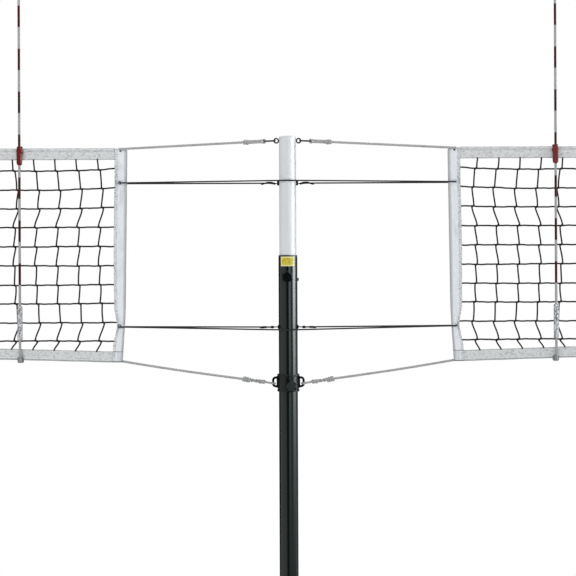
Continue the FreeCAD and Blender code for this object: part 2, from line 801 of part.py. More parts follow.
knot_start = sling_end + s["top_bight_length"]
knot_end = knot_start + s["top_knot_length"]
top_bight = bight("top_knot", sling_at, sling_end, half_gap, knot_start, True)
top_knot_right = made("top_knot_right", top_bight.fuse(
    knot(sling_at(knot_start), sling_at(knot_end), s["top_knot_across"])))
node(mirrored("top_knot_left", top_knot_right))
node(top_knot_right)

BAND_FRONT = s["band_pinch_thickness"] / 2
corner = Vector(s["band_top_edge"] + s["corner_rope_inset"], 0, s["band_top"] - s["corner_rope_drop"])
corner.y = -(BAND_FRONT + s["running_gap"] + s["corner_knot_across"] / 2)
rope_start = sling_at(knot_end + s["rope_end_gap"])
rope_line = (corner - rope_start).normalize()
corner_knot = knot(
    corner - rope_line * s["corner_knot_across"] / 2, corner + rope_line * s["corner_knot_across"] / 2,
    s["corner_knot_across"])
rope = tube("top_rope", [rope_start, corner], [], ROPE)
top_rope_right = made("top_rope_right", rope.fuse(corner_knot))
node(mirrored("top_rope_left", top_rope_right))
node(top_rope_right)

# Bottom corner ropes: each goes round the outer bar of its D-ring, through a small knot, lies twisted
# and ends its bight in a second knot.
LUG_R = LOWER_R + s["running_gap"] + s["liner_wall"] + s["press_gap"] + s["collar_wall"] + s["lug_proud"]
D_BAR_X = LUG_R + s["d_ring_reach"]
D_RING_HEIGHT = s["band_foot"] - s["d_ring_drop"]
bar_at = along_line(Vector(D_BAR_X, 0, D_RING_HEIGHT - s["d_ring_rope_drop"]), s["bottom_rise"])
bar_gap = s["d_ring_wire"] / 2 + s["running_gap"] + ROPE / 2
small_start = s["bottom_bight_length"]
small_end = small_start + s["small_knot_length"]
big_start = small_end + s["twist_length"]
big_end = big_start + s["bottom_knot_length"]
ring_bight = bight("bottom_knots", bar_at, 0.0, bar_gap, small_start, False)
strands = [
    Part.makeCylinder(
        ROPE / 2, s["twist_length"] + ROPE, bar_at(small_end - ROPE / 2, 0, side * s["twist_half_gap"]),
        bar_at(1) - bar_at(0))
    for side in (-1, 1)]
bottom_knot_shape = ring_bight.multiFuse([
    knot(bar_at(small_start), bar_at(small_end), s["small_knot_across"]),
    strands[0], strands[1],
    knot(bar_at(big_start), bar_at(big_end), s["bottom_knot_across"])])
knots_right = made("bottom_knots_right", bottom_knot_shape)
node(group("bottom_knots", mirrored("bottom_knots_left", knots_right), knots_right))
low_corner = Vector(s["band_foot_edge"] - ROPE / 10, 0, s["band_foot"] + ROPE / 2)
bottom_rope_right = made("bottom_rope_right", tube(
    "bottom_rope", [bar_at(big_end + s["rope_end_gap"]), low_corner], [], ROPE))
node(mirrored("bottom_rope_left", bottom_rope_right))
node(bottom_rope_right)

# Side bands: padded sleeves round the net's end rods, pinched where the tension cords go through.
PINCHES = (s["band_foot"] + s["lower_grommet_rise"], s["band_top"] - s["upper_grommet_drop"])
band_middle_height = sum(PINCHES) / 2


def between(low, high, share):
    return low + (high - low) * share


def band_levels():
    """Each height at which the band's outline bends, with its post edge, width and thickness."""
    reach = s["band_pinch_reach"]
    full, pinched = s["band_thickness"], s["band_pinch_thickness"]
    levels = [
        (s["band_foot"], s["band_foot_edge"], s["band_foot_width"], full),
        (PINCHES[0] - reach, s["band_below_edge"], s["band_below_width"], full),
        (PINCHES[0], s["band_pinch_edge"], s["band_pinch_width"], pinched),
        (PINCHES[0] + reach, s["band_above_edge"], s["band_above_width"], full),
        (band_middle_height, s["band_middle_edge"], s["band_middle_width"], full),
    ]
    for height, tuck, thickness in ((PINCHES[1] - reach, 0.0, full), (PINCHES[1], s["band_neck_tuck"], pinched)):
        share = (height - band_middle_height) / (s["band_top"] - band_middle_height)
        edge = between(s["band_middle_edge"], s["band_top_edge"], share)
        width = between(s["band_middle_width"], s["band_top_width"], share) - tuck
        levels.append((height, edge, width, thickness))
    levels.append((s["band_top"], s["band_top_edge"], s["band_top_width"], pinched))
    return levels


BAND_LEVELS = band_levels()


def band_level(height):
    """The band's post edge, width and thickness at a height."""
    for low, high in zip(BAND_LEVELS, BAND_LEVELS[1:]):
        if height <= high[0]:
            part = (height - low[0]) / (high[0] - low[0])
            return tuple(between(low[i], high[i], part) for i in (1, 2, 3))
    return BAND_LEVELS[-1][1:]


def net_edge(height):
    edge, width, thickness = band_level(height)
    return edge + width


def stadium(edge, width, thickness, height):
    """A level outline with two straight sides and two round ends, each end in two arcs."""
    r = thickness / 2
    low = edge + r
    high = edge + width - r
    slant = r * math.sqrt(0.5)
    spots = [Vector(low, -r, height), Vector(high, -r, height), Vector(high + r, 0, height),
             Vector(high, r, height), Vector(low, r, height), Vector(low - r, 0, height)]
    return Part.Wire([
        Part.LineSegment(spots[0], spots[1]).toShape(),
        Part.Arc(spots[1], Vector(high + slant, -slant, height), spots[2]).toShape(),
        Part.Arc(spots[2], Vector(high + slant, slant, height), spots[3]).toShape(),
        Part.LineSegment(spots[3], spots[4]).toShape(),
        Part.Arc(spots[4], Vector(low - slant, slant, height), spots[5]).toShape(),
        Part.Arc(spots[5], Vector(low - slant, -slant, height), spots[0]).toShape(),
    ])


sections = [stadium(edge, width, thickness, height) for height, edge, width, thickness in BAND_LEVELS]
band_stock = Part.makeLoft(sections, True, True)

rod_foot = Vector(0, 0, s["band_foot"] + s["rod_foot_rise"])
rod_foot.x = band_level(rod_foot.z)[0] + s["rod_foot_inset"]
rod_top = Vector(s["band_top_edge"] + s["rod_top_inset"], 0, s["band_top"] - s["rod_top_drop"])
rod_line = rod_top - rod_foot
rod_gap = Vector(rod_line).normalize() * s["running_gap"]
rod_bore = Part.makeCylinder(
    s["rod_across"] / 2 + s["running_gap"], rod_line.Length + s["rod_top_drop"] * 3, rod_foot - rod_gap, rod_line)

grommets = []
grommet_holes = []
for height, inset in zip(PINCHES, (s["lower_grommet_in"], s["upper_grommet_in"])):
    edge, width, thickness = band_level(height)
    centre = Vector(edge + inset, 0, height)
    half = thickness / 2 + s["running_gap"]
    bore = s["grommet_bore"] / 2
    wall = bore + s["grommet_wall"]
    rim = s["grommet_across"] / 2
    face = half + s["grommet_flange"]
    barrel = Part.makeCylinder(wall, 2 * face, centre - BACK * face, BACK)
    flanges = [
        Part.makeCylinder(rim, s["grommet_flange"], centre + BACK * start, BACK) for start in (-face, half)]
    eyelet = barrel.multiFuse(flanges).cut(Part.makeCylinder(bore, 4 * face, centre - BACK * 2 * face, BACK))
    grommets.append(eyelet)
    grommet_holes.append(
        Part.makeCylinder(wall + s["press_gap"], 4 * face, centre - BACK * 2 * face, BACK))
band_right = made("side_band_right", band_stock.cut([rod_bore] + grommet_holes))
node(mirrored("side_band_left", band_right))
node(band_right)
grommets_right = made("grommets_right", Part.makeCompound(grommets))
node(group("band_grommets", mirrored("grommets_left", grommets_right), grommets_right))

FAR_FOOT = s["band_foot"] + s["far_band_rise"]
far_stock = Part.makeLoft([
    stadium(s["far_band_edge"], s["far_band_width"], s["band_thickness"], height)
    for height in (FAR_FOOT, s["band_top"])], True, True)
far_rod_foot = Vector(s["far_band_edge"] + s["far_band_width"] / 2, 0, FAR_FOOT + s["rod_foot_rise"])
far_rod_length = s["band_top"] - s["rod_top_drop"] - far_rod_foot.z
far_bore = Part.makeCylinder(
    s["rod_across"] / 2 + s["running_gap"], far_rod_length * 2, far_rod_foot - UP * s["running_gap"], UP)
far_band_right = made("far_band_right", far_stock.cut(far_bore))
node(mirrored("far_band_left", far_band_right))
node(far_band_right)

rods_right = made("rods_right", Part.makeCompound([
    Part.makeCylinder(s["rod_across"] / 2, rod_line.Length, rod_foot, rod_line),
    Part.makeCylinder(s["rod_across"] / 2, far_rod_length, far_rod_foot, UP)]))
node(group("band_rods", mirrored("rods_left", rods_right), rods_right))

# Rope ends with their eyes at the far ends of the nets.
far_edge = s["far_band_edge"] + s["far_band_width"] + s["running_gap"]
far_eye_x = far_edge + s["far_rope_length"] + s["far_eye_radius"]
far_eye_shapes = []
for height in (FAR_FOOT + ROPE * 1.5, s["band_top"] - ROPE * 1.5):
    far_rope = Part.makeCylinder(ROPE / 2, s["far_rope_length"], Vector(far_edge, 0, height), OUT)
    eye_section = eight_sided(Vector(far_eye_x + s["far_eye_radius"], 0, height), OUT, BACK, ROPE)
    far_eye = Part.Face(eye_section).revolve(Vector(far_eye_x, 0, height), BACK, 360)
    whipping = Part.makeCylinder(
        s["whipping_across"] / 2, s["whipping_length"],
        Vector(far_edge + s["far_rope_length"] - s["whipping_length"], 0, height), OUT)
    far_eye_shapes.append(far_rope.multiFuse([far_eye, whipping]))
far_right = made("far_eyes_right", Part.makeCompound(far_eye_shapes))
node(group("far_eyes", mirrored("far_eyes_left", far_right), far_right))

# Top tape: a flat tape with the headline cable in its hem.
tape_half = "tape_thickness / 2"
top_tape_foot = "band_top - top_tape_tall"
NET_TOP = s["band_top"] - s["top_tape_tall"]
TAPE_START = net_edge(NET_TOP) + s["tape_end_gap"]
tape_far_end = "far_band_edge - tape_end_gap"
tape_start = "(%.3f)" % TAPE_START
top_strip = block(
    "top_tape_strip", (tape_start, tape_far_end), ("0 - " + tape_half, tape_half), (top_tape_foot, "band_top"))
top_hem = cylinder(
    "top_tape_hem", "top_cable_across / 2", "%s - %s" % (tape_far_end, tape_start), x=tape_start,
    z="band_top - top_cable_drop", along=OUT)
top_tape_right = fuse("top_tape_right", top_strip, top_hem)
node(mirrored("top_tape_left", top_tape_right))
node(top_tape_right)

# Bottom tape: the same with a rope in its lower hem, rising a little away from the post.
low_tilt = math.radians(s["bottom_tape_tilt"])
TAPE_TOP = s["band_foot"] + s["bottom_tape_tall"]
LOW_START = net_edge(TAPE_TOP) + s["bottom_tape_tall"] * math.sin(low_tilt) + s["tape_end_gap"]
low_length = (s["far_band_edge"] - s["tape_end_gap"] - LOW_START) / math.cos(low_tilt)
hem_r = s["bottom_cable_across"] / 2
low_strip = Part.makeBox(low_length, s["tape_thickness"], s["bottom_tape_tall"] - hem_r)
low_strip.translate(Vector(0, -s["tape_thickness"] / 2, hem_r))
low_hem = Part.makeCylinder(hem_r, low_length, Vector(0, 0, hem_r), OUT)
low_tape_shape = low_strip.fuse(low_hem)
bottom_tape_right = made("bottom_tape_right", low_tape_shape)
bottom_tape_right.Placement = Placement(
    Vector(LOW_START, 0, s["band_foot"]), Rotation(Vector(0, -1, 0), s["bottom_tape_tilt"]))
node(mirrored("bottom_tape_left", bottom_tape_right))
node(bottom_tape_right)


def tape_low_edge(x):
    return s["band_foot"] + (x - LOW_START) * math.tan(low_tilt)


# Net: one plate of knotted cords with its square gaps, whose upright cords step aside at each knot.
# How far each upright cord has drifted towards the post where it reaches the next cord across:
drifts = [0.0, 20.0, 15.5, 0.0, 2.0, 2.0, 8.0, 15.5, 28.0, 12.0, -6.0]
cord = s["net_cord"]
gap = s["tape_end_gap"]
border = s["net_edge_cord"]
rows = int(s["net_rows"])
columns = int(s["net_columns"])
net_top = NET_TOP - gap
net_far = s["far_band_edge"] - gap


def net_low(x):
    return tape_low_edge(x) + s["bottom_tape_tall"] / math.cos(low_tilt) + gap


def row_height(row):
    first = s["band_top"] - s["first_row_drop"]
    last = s["band_foot"] + s["last_row_rise"]
    return between(first, last, row / (rows - 2))


def column_place(column, drift, height, inward):
    """An upright cord's side at a height: the band's edge first, the far band's edge last."""
    if column == 0:
        return net_edge(height) + gap + border
    if column == columns:
        return net_far - border
    return s["first_column"] + (column - 1) * s["column_pitch"] - drift + inward * cord / 2


side_heights = [level[0] for level in BAND_LEVELS if net_low(s["band_foot_edge"]) < level[0] < net_top]


def net_gap(row, column):
    """The corners of one gap, from the top corner beside the post round to the lower one and up the band."""
    above = 0.0 if row == 0 else drifts[(row - 1) % len(drifts)] + s["knot_step"]
    below = drifts[row % len(drifts)]
    high = net_top - border if row == 0 else row_height(row - 1) - cord / 2
    corners = []
    for side, drift, top in ((0, above, True), (1, above, True), (1, below, False), (0, below, False)):
        height = high if top else row_height(row) + cord / 2
        x = column_place(column + side, drift, height, 1 - 2 * side)
        if not top and row == rows - 1:
            height = net_low(x) + border
        corners.append(Vector(x, -cord / 2, height))
    if column == 0:
        for height in side_heights:
            if corners[3].z + border < height < corners[0].z - border:
                corners.append(Vector(column_place(0, 0.0, height, 1), -cord / 2, height))
    return corners


def loop(corners):
    return Part.makePolygon(corners + corners[:1])


outline = [Vector(net_edge(height) + gap, -cord / 2, height) for height in side_heights]
low_left = net_edge(net_low(outline[0].x)) + gap
outline.insert(0, Vector(low_left, -cord / 2, net_low(low_left)))
outline.append(Vector(net_edge(net_top) + gap, -cord / 2, net_top))
outline.append(Vector(net_far, -cord / 2, net_top))
outline.append(Vector(net_far, -cord / 2, net_low(net_far)))
gaps = [loop(net_gap(row, column)) for row in range(rows) for column in range(columns)]
net_face = Part.makeFace([loop(outline)] + gaps, "Part::FaceMakerBullseye")
net_right = made("net_right", net_face.extrude(BACK * cord))
node(mirrored("net_left", net_right))
node(net_right)


def saddle(label, tube_r, height, reach, tall):
    """A half ring round the back of the post with an ear at each side that takes the hooks."""
    bore = "(%s + running_gap)" % tube_r
    back = cylinder(label + "_back", bore + " + saddle_thickness", "saddle_tall", z="%s - saddle_tall / 2" % height)
    tie(back, "Angle", "saddle_wrap")
    tie(back, "Placement.Rotation.Angle", "90 - saddle_wrap / 2")
    end = "(%s + %s)" % (tube_r, reach)
    wide = ("0 - ear_width / 2", "ear_width / 2")
    high = ("%s - %s / 2" % (height, tall), "%s + %s / 2" % (height, tall))
    ears = [block(label + "_ear_right", ("0", end), wide, high),
            block(label + "_ear_left", ("0 - %s" % end, "0"), wide, high)]
    hollow = cylinder(label + "_hollow", bore, "saddle_tall * 2", z="%s - saddle_tall" % height)
    sockets = [
        cylinder(label + "_socket_right", "hook_neck_across / 2 + press_gap", "saddle_tall",
                 x=end + " - ear_socket_depth", z=height, along=OUT),
        cylinder(label + "_socket_left", "hook_neck_across / 2 + press_gap", "saddle_tall",
                 x="0 - (%s - ear_socket_depth)" % end, z=height, along=Vector(-1, 0, 0)),
    ]
    return node(cut(label, fuse(label + "_stock", back, *ears), hollow, *sockets))


saddle("upper_saddle", upper_r, upper_hook_height, "upper_ear_reach", "upper_ear_tall")
saddle("lower_saddle", lower_r, lower_hook_height, "lower_ear_reach", "lower_ear_tall")

# Cord hooks: black turned pieces whose necks sit in the saddles' ears and whose ends hold the cords.
cord_bore = "cord_across / 2 + press_gap"
slug_neck = upper_r + " + upper_ear_reach - ear_socket_depth + press_gap"
slug = slug_neck + " + slug_neck_length"
slug_end = slug + " + slug_length"
upper_hook = turning("upper_hook_right", [
    (slug_neck, "0"),
    (slug_neck, "hook_neck_across / 2"),
    (slug, "hook_neck_across / 2"),
    (slug + " + slug_taper", "slug_across / 2"),
    (slug_end + " - hook_edge", "slug_across / 2"),
    (slug_end, cord_bore + " + hook_edge"),
    (slug_end, cord_bore),
    (slug_end + " - hook_socket_depth", cord_bore),
    (slug_end + " - hook_socket_depth", "0"),
], lying=True)
place(upper_hook, z=upper_hook_height)
neck = lower_r + " + lower_ear_reach - ear_socket_depth + press_gap"
ball = neck + " + hook_neck_length"
bar = ball + " + hook_ball_length"
barrel = bar + " + hook_bar_length"
barrel_end = barrel + " + hook_barrel_length"
lower_hook = turning("lower_hook_right", [
    (neck, "0"),
    (neck, "hook_neck_across / 2"),
    (ball, "hook_neck_across / 2"),
    (ball + " + hook_ball_length / 4", "hook_ball_across / 2"),
    (ball + " + hook_ball_length * 3 / 4", "hook_ball_across / 2"),
    (bar, "hook_bar_across / 2"),
    (barrel + " - hook_edge", "hook_bar_across / 2"),
    (barrel + " + hook_edge", "hook_barrel_across / 2"),
    (barrel_end + " - hook_edge", "hook_barrel_across / 2"),
    (barrel_end, cord_bore + " + hook_edge"),
    (barrel_end, cord_bore),
    (barrel_end + " - hook_socket_depth", cord_bore),
    (barrel_end + " - hook_socket_depth", "0"),
], lying=True)
place(lower_hook, z=lower_hook_height)
hooks_right = group("cord_hooks_right", upper_hook, lower_hook)
node(group("cord_hooks", mirrored("cord_hooks_left", hooks_right), hooks_right))


def tension_cord(label, tube_r, hook_end, hook_height, crossing_height, grommet):
    """One cord: hook, through a grommet, across the post's front, the other grommet, the other hook."""
    off = s["cord_stand_off"]
    step = s["cord_step"] if crossing_height > hook_height else -s["cord_step"]
    bend = tube_r + s["running_gap"] + s["cord_across"] / 2
    crossing = Vector(0, -bend * math.hypot(1, (bend - off) / grommet.x), crossing_height)
    cord_end = Vector(hook_end - s["hook_socket_depth"] + s["press_gap"], 0, hook_height)
    right = [cord_end, grommet + BACK * off - UP * step, grommet - BACK * off + UP * step]
    points = right + [crossing] + [flip(point) for point in reversed(right)]
    turn = s["cord_corner"]
    return made(label, tube(label, points, [turn, turn, bend, turn, turn], s["cord_across"]))


lower_hole, upper_hole = [
    Vector(band_level(height)[0] + inset, 0, height)
    for height, inset in zip(PINCHES, (s["lower_grommet_in"], s["upper_grommet_in"]))]
SOCKETS_OUT = s["press_gap"] - s["ear_socket_depth"]
SLUG_END = UPPER_R + s["upper_ear_reach"] + SOCKETS_OUT + s["slug_neck_length"] + s["slug_length"]
HOOK_END = LOWER_R + s["lower_ear_reach"] + SOCKETS_OUT + s["hook_neck_length"] + s["hook_ball_length"]
HOOK_END = HOOK_END + s["hook_bar_length"] + s["hook_barrel_length"]
node(tension_cord(
    "upper_cord", UPPER_R, SLUG_END, s["band_top"] - s["upper_hook_drop"],
    s["band_top"] - s["upper_crossing_drop"], upper_hole))
node(tension_cord(
    "lower_cord", LOWER_R, HOOK_END, s["band_foot"] + s["lower_hook_rise"],
    s["band_foot"] + s["lower_crossing_rise"], lower_hole))

# Net collar: a moulded sleeve with beaded ends that slides on the lower tube, a lug at each side for
# a D-ring and a boss for its clamp screw.
collar_bore = "(%s + running_gap + liner_wall)" % lower_r
collar_r = "(%s + press_gap + collar_wall)" % collar_bore
bead_r = "(%s + collar_bead_proud)" % collar_r
collar_top = collar_foot + " + collar_tall"
collar_stock = turning("collar_stock", [
    (lower_r + " / 2", collar_foot),
    (bead_r + " - collar_bead_proud / 2", collar_foot),
    (bead_r, collar_foot + " + collar_bead_tall / 4"),
    (bead_r, collar_foot + " + collar_bead_tall * 3 / 4"),
    (collar_r, collar_foot + " + collar_bead_tall"),
    (collar_r, collar_top + " - collar_bead_tall"),
    (bead_r, collar_top + " - collar_bead_tall * 3 / 4"),
    (bead_r, collar_top + " - collar_bead_tall / 4"),
    (bead_r + " - collar_bead_proud / 2", collar_top),
    (lower_r + " / 2", collar_top),
])
scallops = []
scallop_count = int(s["collar_scallops"])
for i in range(scallop_count):
    turn = "(%d + 0.5) * 360 / %d" % (i, scallop_count)
    reach = "(%s + collar_scallop_across / 2 - collar_scallop_depth)" % bead_r
    scallop = cylinder(
        "collar_scallop_%d" % i, "collar_scallop_across / 2", "collar_tall + knob_gap",
        x="%s * cos(%s)" % (reach, turn), y="%s * sin(%s)" % (reach, turn), z=collar_foot + " - knob_gap / 2")
    scallops.append(scallop)
knurled = cut("collar_knurled", collar_stock, *scallops)
lug_r = "(%s + lug_proud)" % collar_r
lug_z = (d_ring_height + " - lug_tall / 2", d_ring_height + " + lug_tall / 2")
lug_y = ("0 - lug_width / 2", "lug_width / 2")
lugs = [block("lug_right", ("0", lug_r), lug_y, lug_z), block("lug_left", ("0 - %s" % lug_r, "0"), lug_y, lug_z)]
collar_boss_reach = collar_r + " + collar_boss_reach"
stock, drill = boss("collar_boss", collar_knob_height, collar_boss_reach, "running_gap")
collar_boss = turned_to("collar_boss_turned", stock, "collar_knob_azimuth")
collar_drill = turned_to("collar_drill_turned", drill, "collar_knob_azimuth")
sockets = []
for side, along in ((1, OUT), (-1, Vector(-1, 0, 0))):
    for level in (-1, 1):
        sockets.append(cylinder(
            "d_ring_socket_%d_%d" % (side, level), "d_ring_wire / 2 + press_gap", "lug_proud + lug_width",
            x="%d * (%s - d_ring_socket_depth)" % (side, lug_r),
            z="%s + %d * d_ring_half_height" % (d_ring_height, level), along=along))
collar_hollow = cylinder(
    "collar_hollow", collar_bore + " + press_gap", "collar_tall * 2", z=collar_foot + " - collar_tall / 2")
node(cut("collar_body", fuse("collar_body_stock", knurled, collar_boss, *lugs),
         collar_hollow, collar_drill, *sockets))

# Collar liner: a soft sleeve between the collar and the post.
liner_foot = "(%s + collar_tall / 2 - liner_tall / 2)" % collar_foot
liner_stock = turning("liner_stock", [
    (lower_r + " + running_gap", liner_foot),
    (collar_bore, liner_foot),
    (collar_bore, liner_foot + " + liner_tall"),
    (lower_r + " + running_gap", liner_foot + " + liner_tall"),
])
liner_drill = turned_to("liner_drill_turned", cylinder(
    "liner_drill", "stud_across / 2 + stud_hole_gap * 2", "lower_tube_across", z=collar_knob_height, along=OUT),
    "collar_knob_azimuth")
node(cut("collar_liner", liner_stock, liner_drill))

# D-rings: bent steel wire, each with both ends in its lug.
ring_start = LUG_R - s["d_ring_socket_depth"] + s["press_gap"]
half_height = s["d_ring_half_height"]
d_points = [Vector(x, 0, D_RING_HEIGHT + level * half_height)
            for x, level in ((ring_start, -1), (D_BAR_X, -1), (D_BAR_X, 1), (ring_start, 1))]
d_ring_right = made("d_ring_right", tube("d_ring", d_points, [s["d_ring_corner"]] * 2, s["d_ring_wire"]))
node(mirrored("d_ring_left", d_ring_right))
node(d_ring_right)

# Clamp screw of the collar.
collar_stud_start = lower_r + " + running_gap"
collar_stud = turning("collar_stud", [
    (collar_stud_start, "0"),
    (collar_stud_start, "stud_across / 2 - stud_chamfer"),
    (collar_stud_start + " + stud_chamfer", "stud_across / 2"),
    (collar_stud_start + " + collar_stud_length", "stud_across / 2"),
    (collar_stud_start + " + collar_stud_length", "0"),
], lying=True)
node(place(collar_stud, z=collar_knob_height, turn="collar_knob_azimuth"))
star_knob("collar_knob", collar_boss_reach + " + knob_gap", collar_stud_start + " + collar_stud_length",
          collar_knob_height, "collar_knob_azimuth")

# Antennas: striped glass-fibre rods that stand in front of the net, each with a cap, a sleeve near
# its foot, a clip under the bottom tape and a sprung clamp on the top tape.
antenna_y = "(0 - antenna_sleeve_across / 2 - net_cord / 2 - antenna_back_gap)"
clip_slot = "(%.3f)" % (tape_low_edge(s["antenna_place"] - s["foot_clip_width"] / 2) - s["running_gap"])
clip_foot = "(%s - foot_clip_floor)" % clip_slot
antenna_foot = "(%s + foot_socket_floor)" % clip_foot
antenna_top = "(%s + antenna_length)" % antenna_foot
antenna_right = cylinder(
    "antenna_right", "antenna_across / 2", "antenna_length", x="antenna_place", y=antenna_y, z=antenna_foot)
node(mirrored("antenna_left", antenna_right))
node(antenna_right)

cap_stock = turning("antenna_cap", [
    ("0", antenna_top),
    ("antenna_across / 2 + antenna_fit", antenna_top),
    ("antenna_across / 2 + antenna_fit", antenna_top + " + antenna_tip_wall - antenna_tip_length"),
    ("antenna_tip_across / 2", antenna_top + " + antenna_tip_wall - antenna_tip_length"),
    ("antenna_tip_across / 2", antenna_top + " - antenna_tip_edge"),
    ("antenna_tip_across / 2 - antenna_tip_wall", antenna_top + " + antenna_tip_wall"),
    ("0", antenna_top + " + antenna_tip_wall"),
])
place(cap_stock, x="antenna_place", y=antenna_y)
tip_right = group("antenna_tip_right", cap_stock)
node(group("antenna_tips", mirrored("antenna_tip_left", tip_right), tip_right))

sleeve_foot = antenna_foot + " + antenna_sleeve_rise"
sleeve_stock = turning("antenna_sleeve", [
    ("antenna_across / 2 + antenna_fit", sleeve_foot),
    ("antenna_sleeve_across / 2 - antenna_sleeve_edge", sleeve_foot),
    ("antenna_sleeve_across / 2", sleeve_foot + " + antenna_sleeve_edge"),
    ("antenna_sleeve_across / 2", sleeve_foot + " + antenna_sleeve_length - antenna_sleeve_edge"),
    ("antenna_sleeve_across / 2 - antenna_sleeve_edge", sleeve_foot + " + antenna_sleeve_length"),
    ("antenna_across / 2 + antenna_fit", sleeve_foot + " + antenna_sleeve_length"),
])
place(sleeve_stock, x="antenna_place", y=antenna_y)
sleeve_right = group("antenna_sleeve_right", sleeve_stock)
node(group("antenna_sleeves", mirrored("antenna_sleeve_left", sleeve_right), sleeve_right))

# Foot clip: a half-moon moulding round the bottom tape's hem, with the socket of the antenna's foot.
clip_half = "(bottom_cable_across / 2 + running_gap + foot_clip_wall)"
clip_x = ("antenna_place - foot_clip_width / 2", "antenna_place + foot_clip_width / 2")
clip_stock = block("clip_stock", clip_x, ("0 - " + clip_half, clip_half),
                   (clip_foot, clip_foot + " + foot_clip_tall"))
clip_moon = cylinder("clip_moon", "foot_clip_width / 2 + foot_clip_bulge", clip_half + " * 2", x="antenna_place",
                     y="0 - " + clip_half, z=clip_foot + " + foot_clip_width / 2", along=BACK)
half_moon = doc.addObject("Part::Common", "half_moon")
half_moon.Base = clip_stock
half_moon.Tool = clip_moon
clip_slot_mill = block(
    "clip_slot_mill", clip_x,
    ("foot_clip_wall - " + clip_half, clip_half + " - foot_clip_wall"),
    (clip_slot, clip_slot + " + foot_clip_tall"))
foot_socket = cylinder("foot_socket", "foot_socket_across / 2", "foot_clip_tall", x="antenna_place",
                       y=antenna_y, z=clip_foot)
foot_drill = cylinder("foot_drill", "antenna_across / 2 + antenna_fit", "foot_clip_tall", x="antenna_place",
                      y=antenna_y, z=antenna_foot)
hook_right = cut("antenna_hook_right", fuse("hook_stock", cut("clip", half_moon, clip_slot_mill), foot_socket),
                 foot_drill)
node(group("antenna_hooks", mirrored("antenna_hook_left", hook_right), hook_right))

# Antenna clamp: a capsule in front of the top tape and an arm over its edge that carries the hinge.
clamp_back = "(0 - top_cable_across / 2 - running_gap)"
clamp_front = "(%s - clamp_depth)" % clamp_back
clamp_top = "(band_top + clamp_rise)"
clamp_low = "(%s - clamp_tall)" % clamp_top
clamp_r = "clamp_width / 2"
shoulder_r = "clamp_shoulder_tall / 2"
capsule = fuse(
    "clamp_capsule",
    block("clamp_middle", ("antenna_place - clamp_width / 2", "antenna_place + clamp_width / 2"),
          (clamp_front, clamp_back), (clamp_low + " + " + clamp_r, clamp_top + " - " + clamp_r)),
    cylinder("clamp_low_end", clamp_r, "clamp_depth", x="antenna_place", y=clamp_front,
             z=clamp_low + " + " + clamp_r, along=BACK),
    cylinder("clamp_high_end", clamp_r, "clamp_depth", x="antenna_place", y=clamp_front,
             z=clamp_top + " - " + clamp_r, along=BACK),
    cylinder("clamp_shoulder_end", shoulder_r, "clamp_depth",
             x="antenna_place - clamp_width / 2 - clamp_shoulder + " + shoulder_r, y=clamp_front,
             z=clamp_top + " - " + clamp_r + " - clamp_shoulder_drop", along=BACK))
capsule.Refine = True
doc.recompute()
front = capsule.Shape.BoundBox.YMin
capsule_bevelled = bevelled(
    "clamp_capsule_bevelled", capsule, s["clamp_edge"], lambda edge: edge.BoundBox.YMax < front + s["press_gap"])

hinge_z = "(band_top + hinge_rise)"
barrel_r = "hinge_barrel_across / 2"
arm_x = ("antenna_place - clamp_width / 2", "antenna_place + clamp_width / 2")
arm = block("clamp_arm", arm_x, (clamp_back + " - clamp_depth / 3", "hinge_behind"),
            ("band_top + running_gap", hinge_z + " + " + barrel_r))
knuckle = cylinder("clamp_knuckle", barrel_r, "clamp_width", x=arm_x[0], y="hinge_behind", z=hinge_z, along=OUT)
slot_half = "(hinge_barrel_length / 2 + running_gap)"
barrel_slot = block(
    "barrel_slot", ("antenna_place - " + slot_half, "antenna_place + " + slot_half),
    ("hinge_behind - %s - running_gap" % barrel_r, "hinge_behind + clamp_width"),
    ("band_top - clamp_width", "band_top + clamp_width"))
rod_hole = cylinder("clamp_rod_hole", "antenna_across / 2 + antenna_fit", "clamp_tall * 2", x="antenna_place",
                    y=antenna_y, z=clamp_low + " - clamp_tall / 2")
hinge_pin = cylinder("hinge_pin", "hinge_pin_across / 2", "clamp_width", x=arm_x[0], y="hinge_behind", z=hinge_z,
                     along=OUT)
clamp_right = fuse(
    "antenna_clamp_right",
    cut("clamp_milled", fuse("clamp_stock", capsule_bevelled, arm, knuckle), barrel_slot, rod_hole), hinge_pin)
node(mirrored("antenna_clamp_left", clamp_right))
node(clamp_right)

# Clamp jaw: a plate behind the tape that hangs from the hinge pin.
jaw_front = "(top_cable_across / 2 + running_gap)"
jaw_plate = block(
    "jaw_plate", ("antenna_place - jaw_width / 2", "antenna_place + jaw_width / 2"),
    (jaw_front, jaw_front + " + jaw_thickness"), ("band_top - jaw_drop - jaw_tall", "band_top - jaw_drop"))
barrel_x = ("antenna_place - hinge_barrel_length / 2", "antenna_place + hinge_barrel_length / 2")
jaw_web = block(
    "jaw_web", barrel_x, (jaw_front, jaw_front + " + jaw_thickness"), ("band_top - jaw_drop - jaw_web_lap", hinge_z))
jaw_barrel = cylinder("jaw_barrel", barrel_r, "hinge_barrel_length", x=barrel_x[0], y="hinge_behind", z=hinge_z,
                      along=OUT)
jaw_bore = cylinder("jaw_bore", "hinge_pin_across / 2 + running_gap", "clamp_width", x=arm_x[0], y="hinge_behind",
                    z=hinge_z, along=OUT)
jaw_right = cut("clamp_jaw_right", fuse("jaw_stock", jaw_plate, jaw_web, jaw_barrel), jaw_bore)
node(mirrored("clamp_jaw_left", jaw_right))
node(jaw_right)

doc.recompute()
failed = [piece.Name for piece in doc.Objects if "Invalid" in piece.State or "Error" in piece.State]
failed += [piece.Label for piece in NODES if piece.Shape.isNull() or not piece.Shape.isValid()]
if failed:
    raise RuntimeError("these objects failed: " + ", ".join(failed))

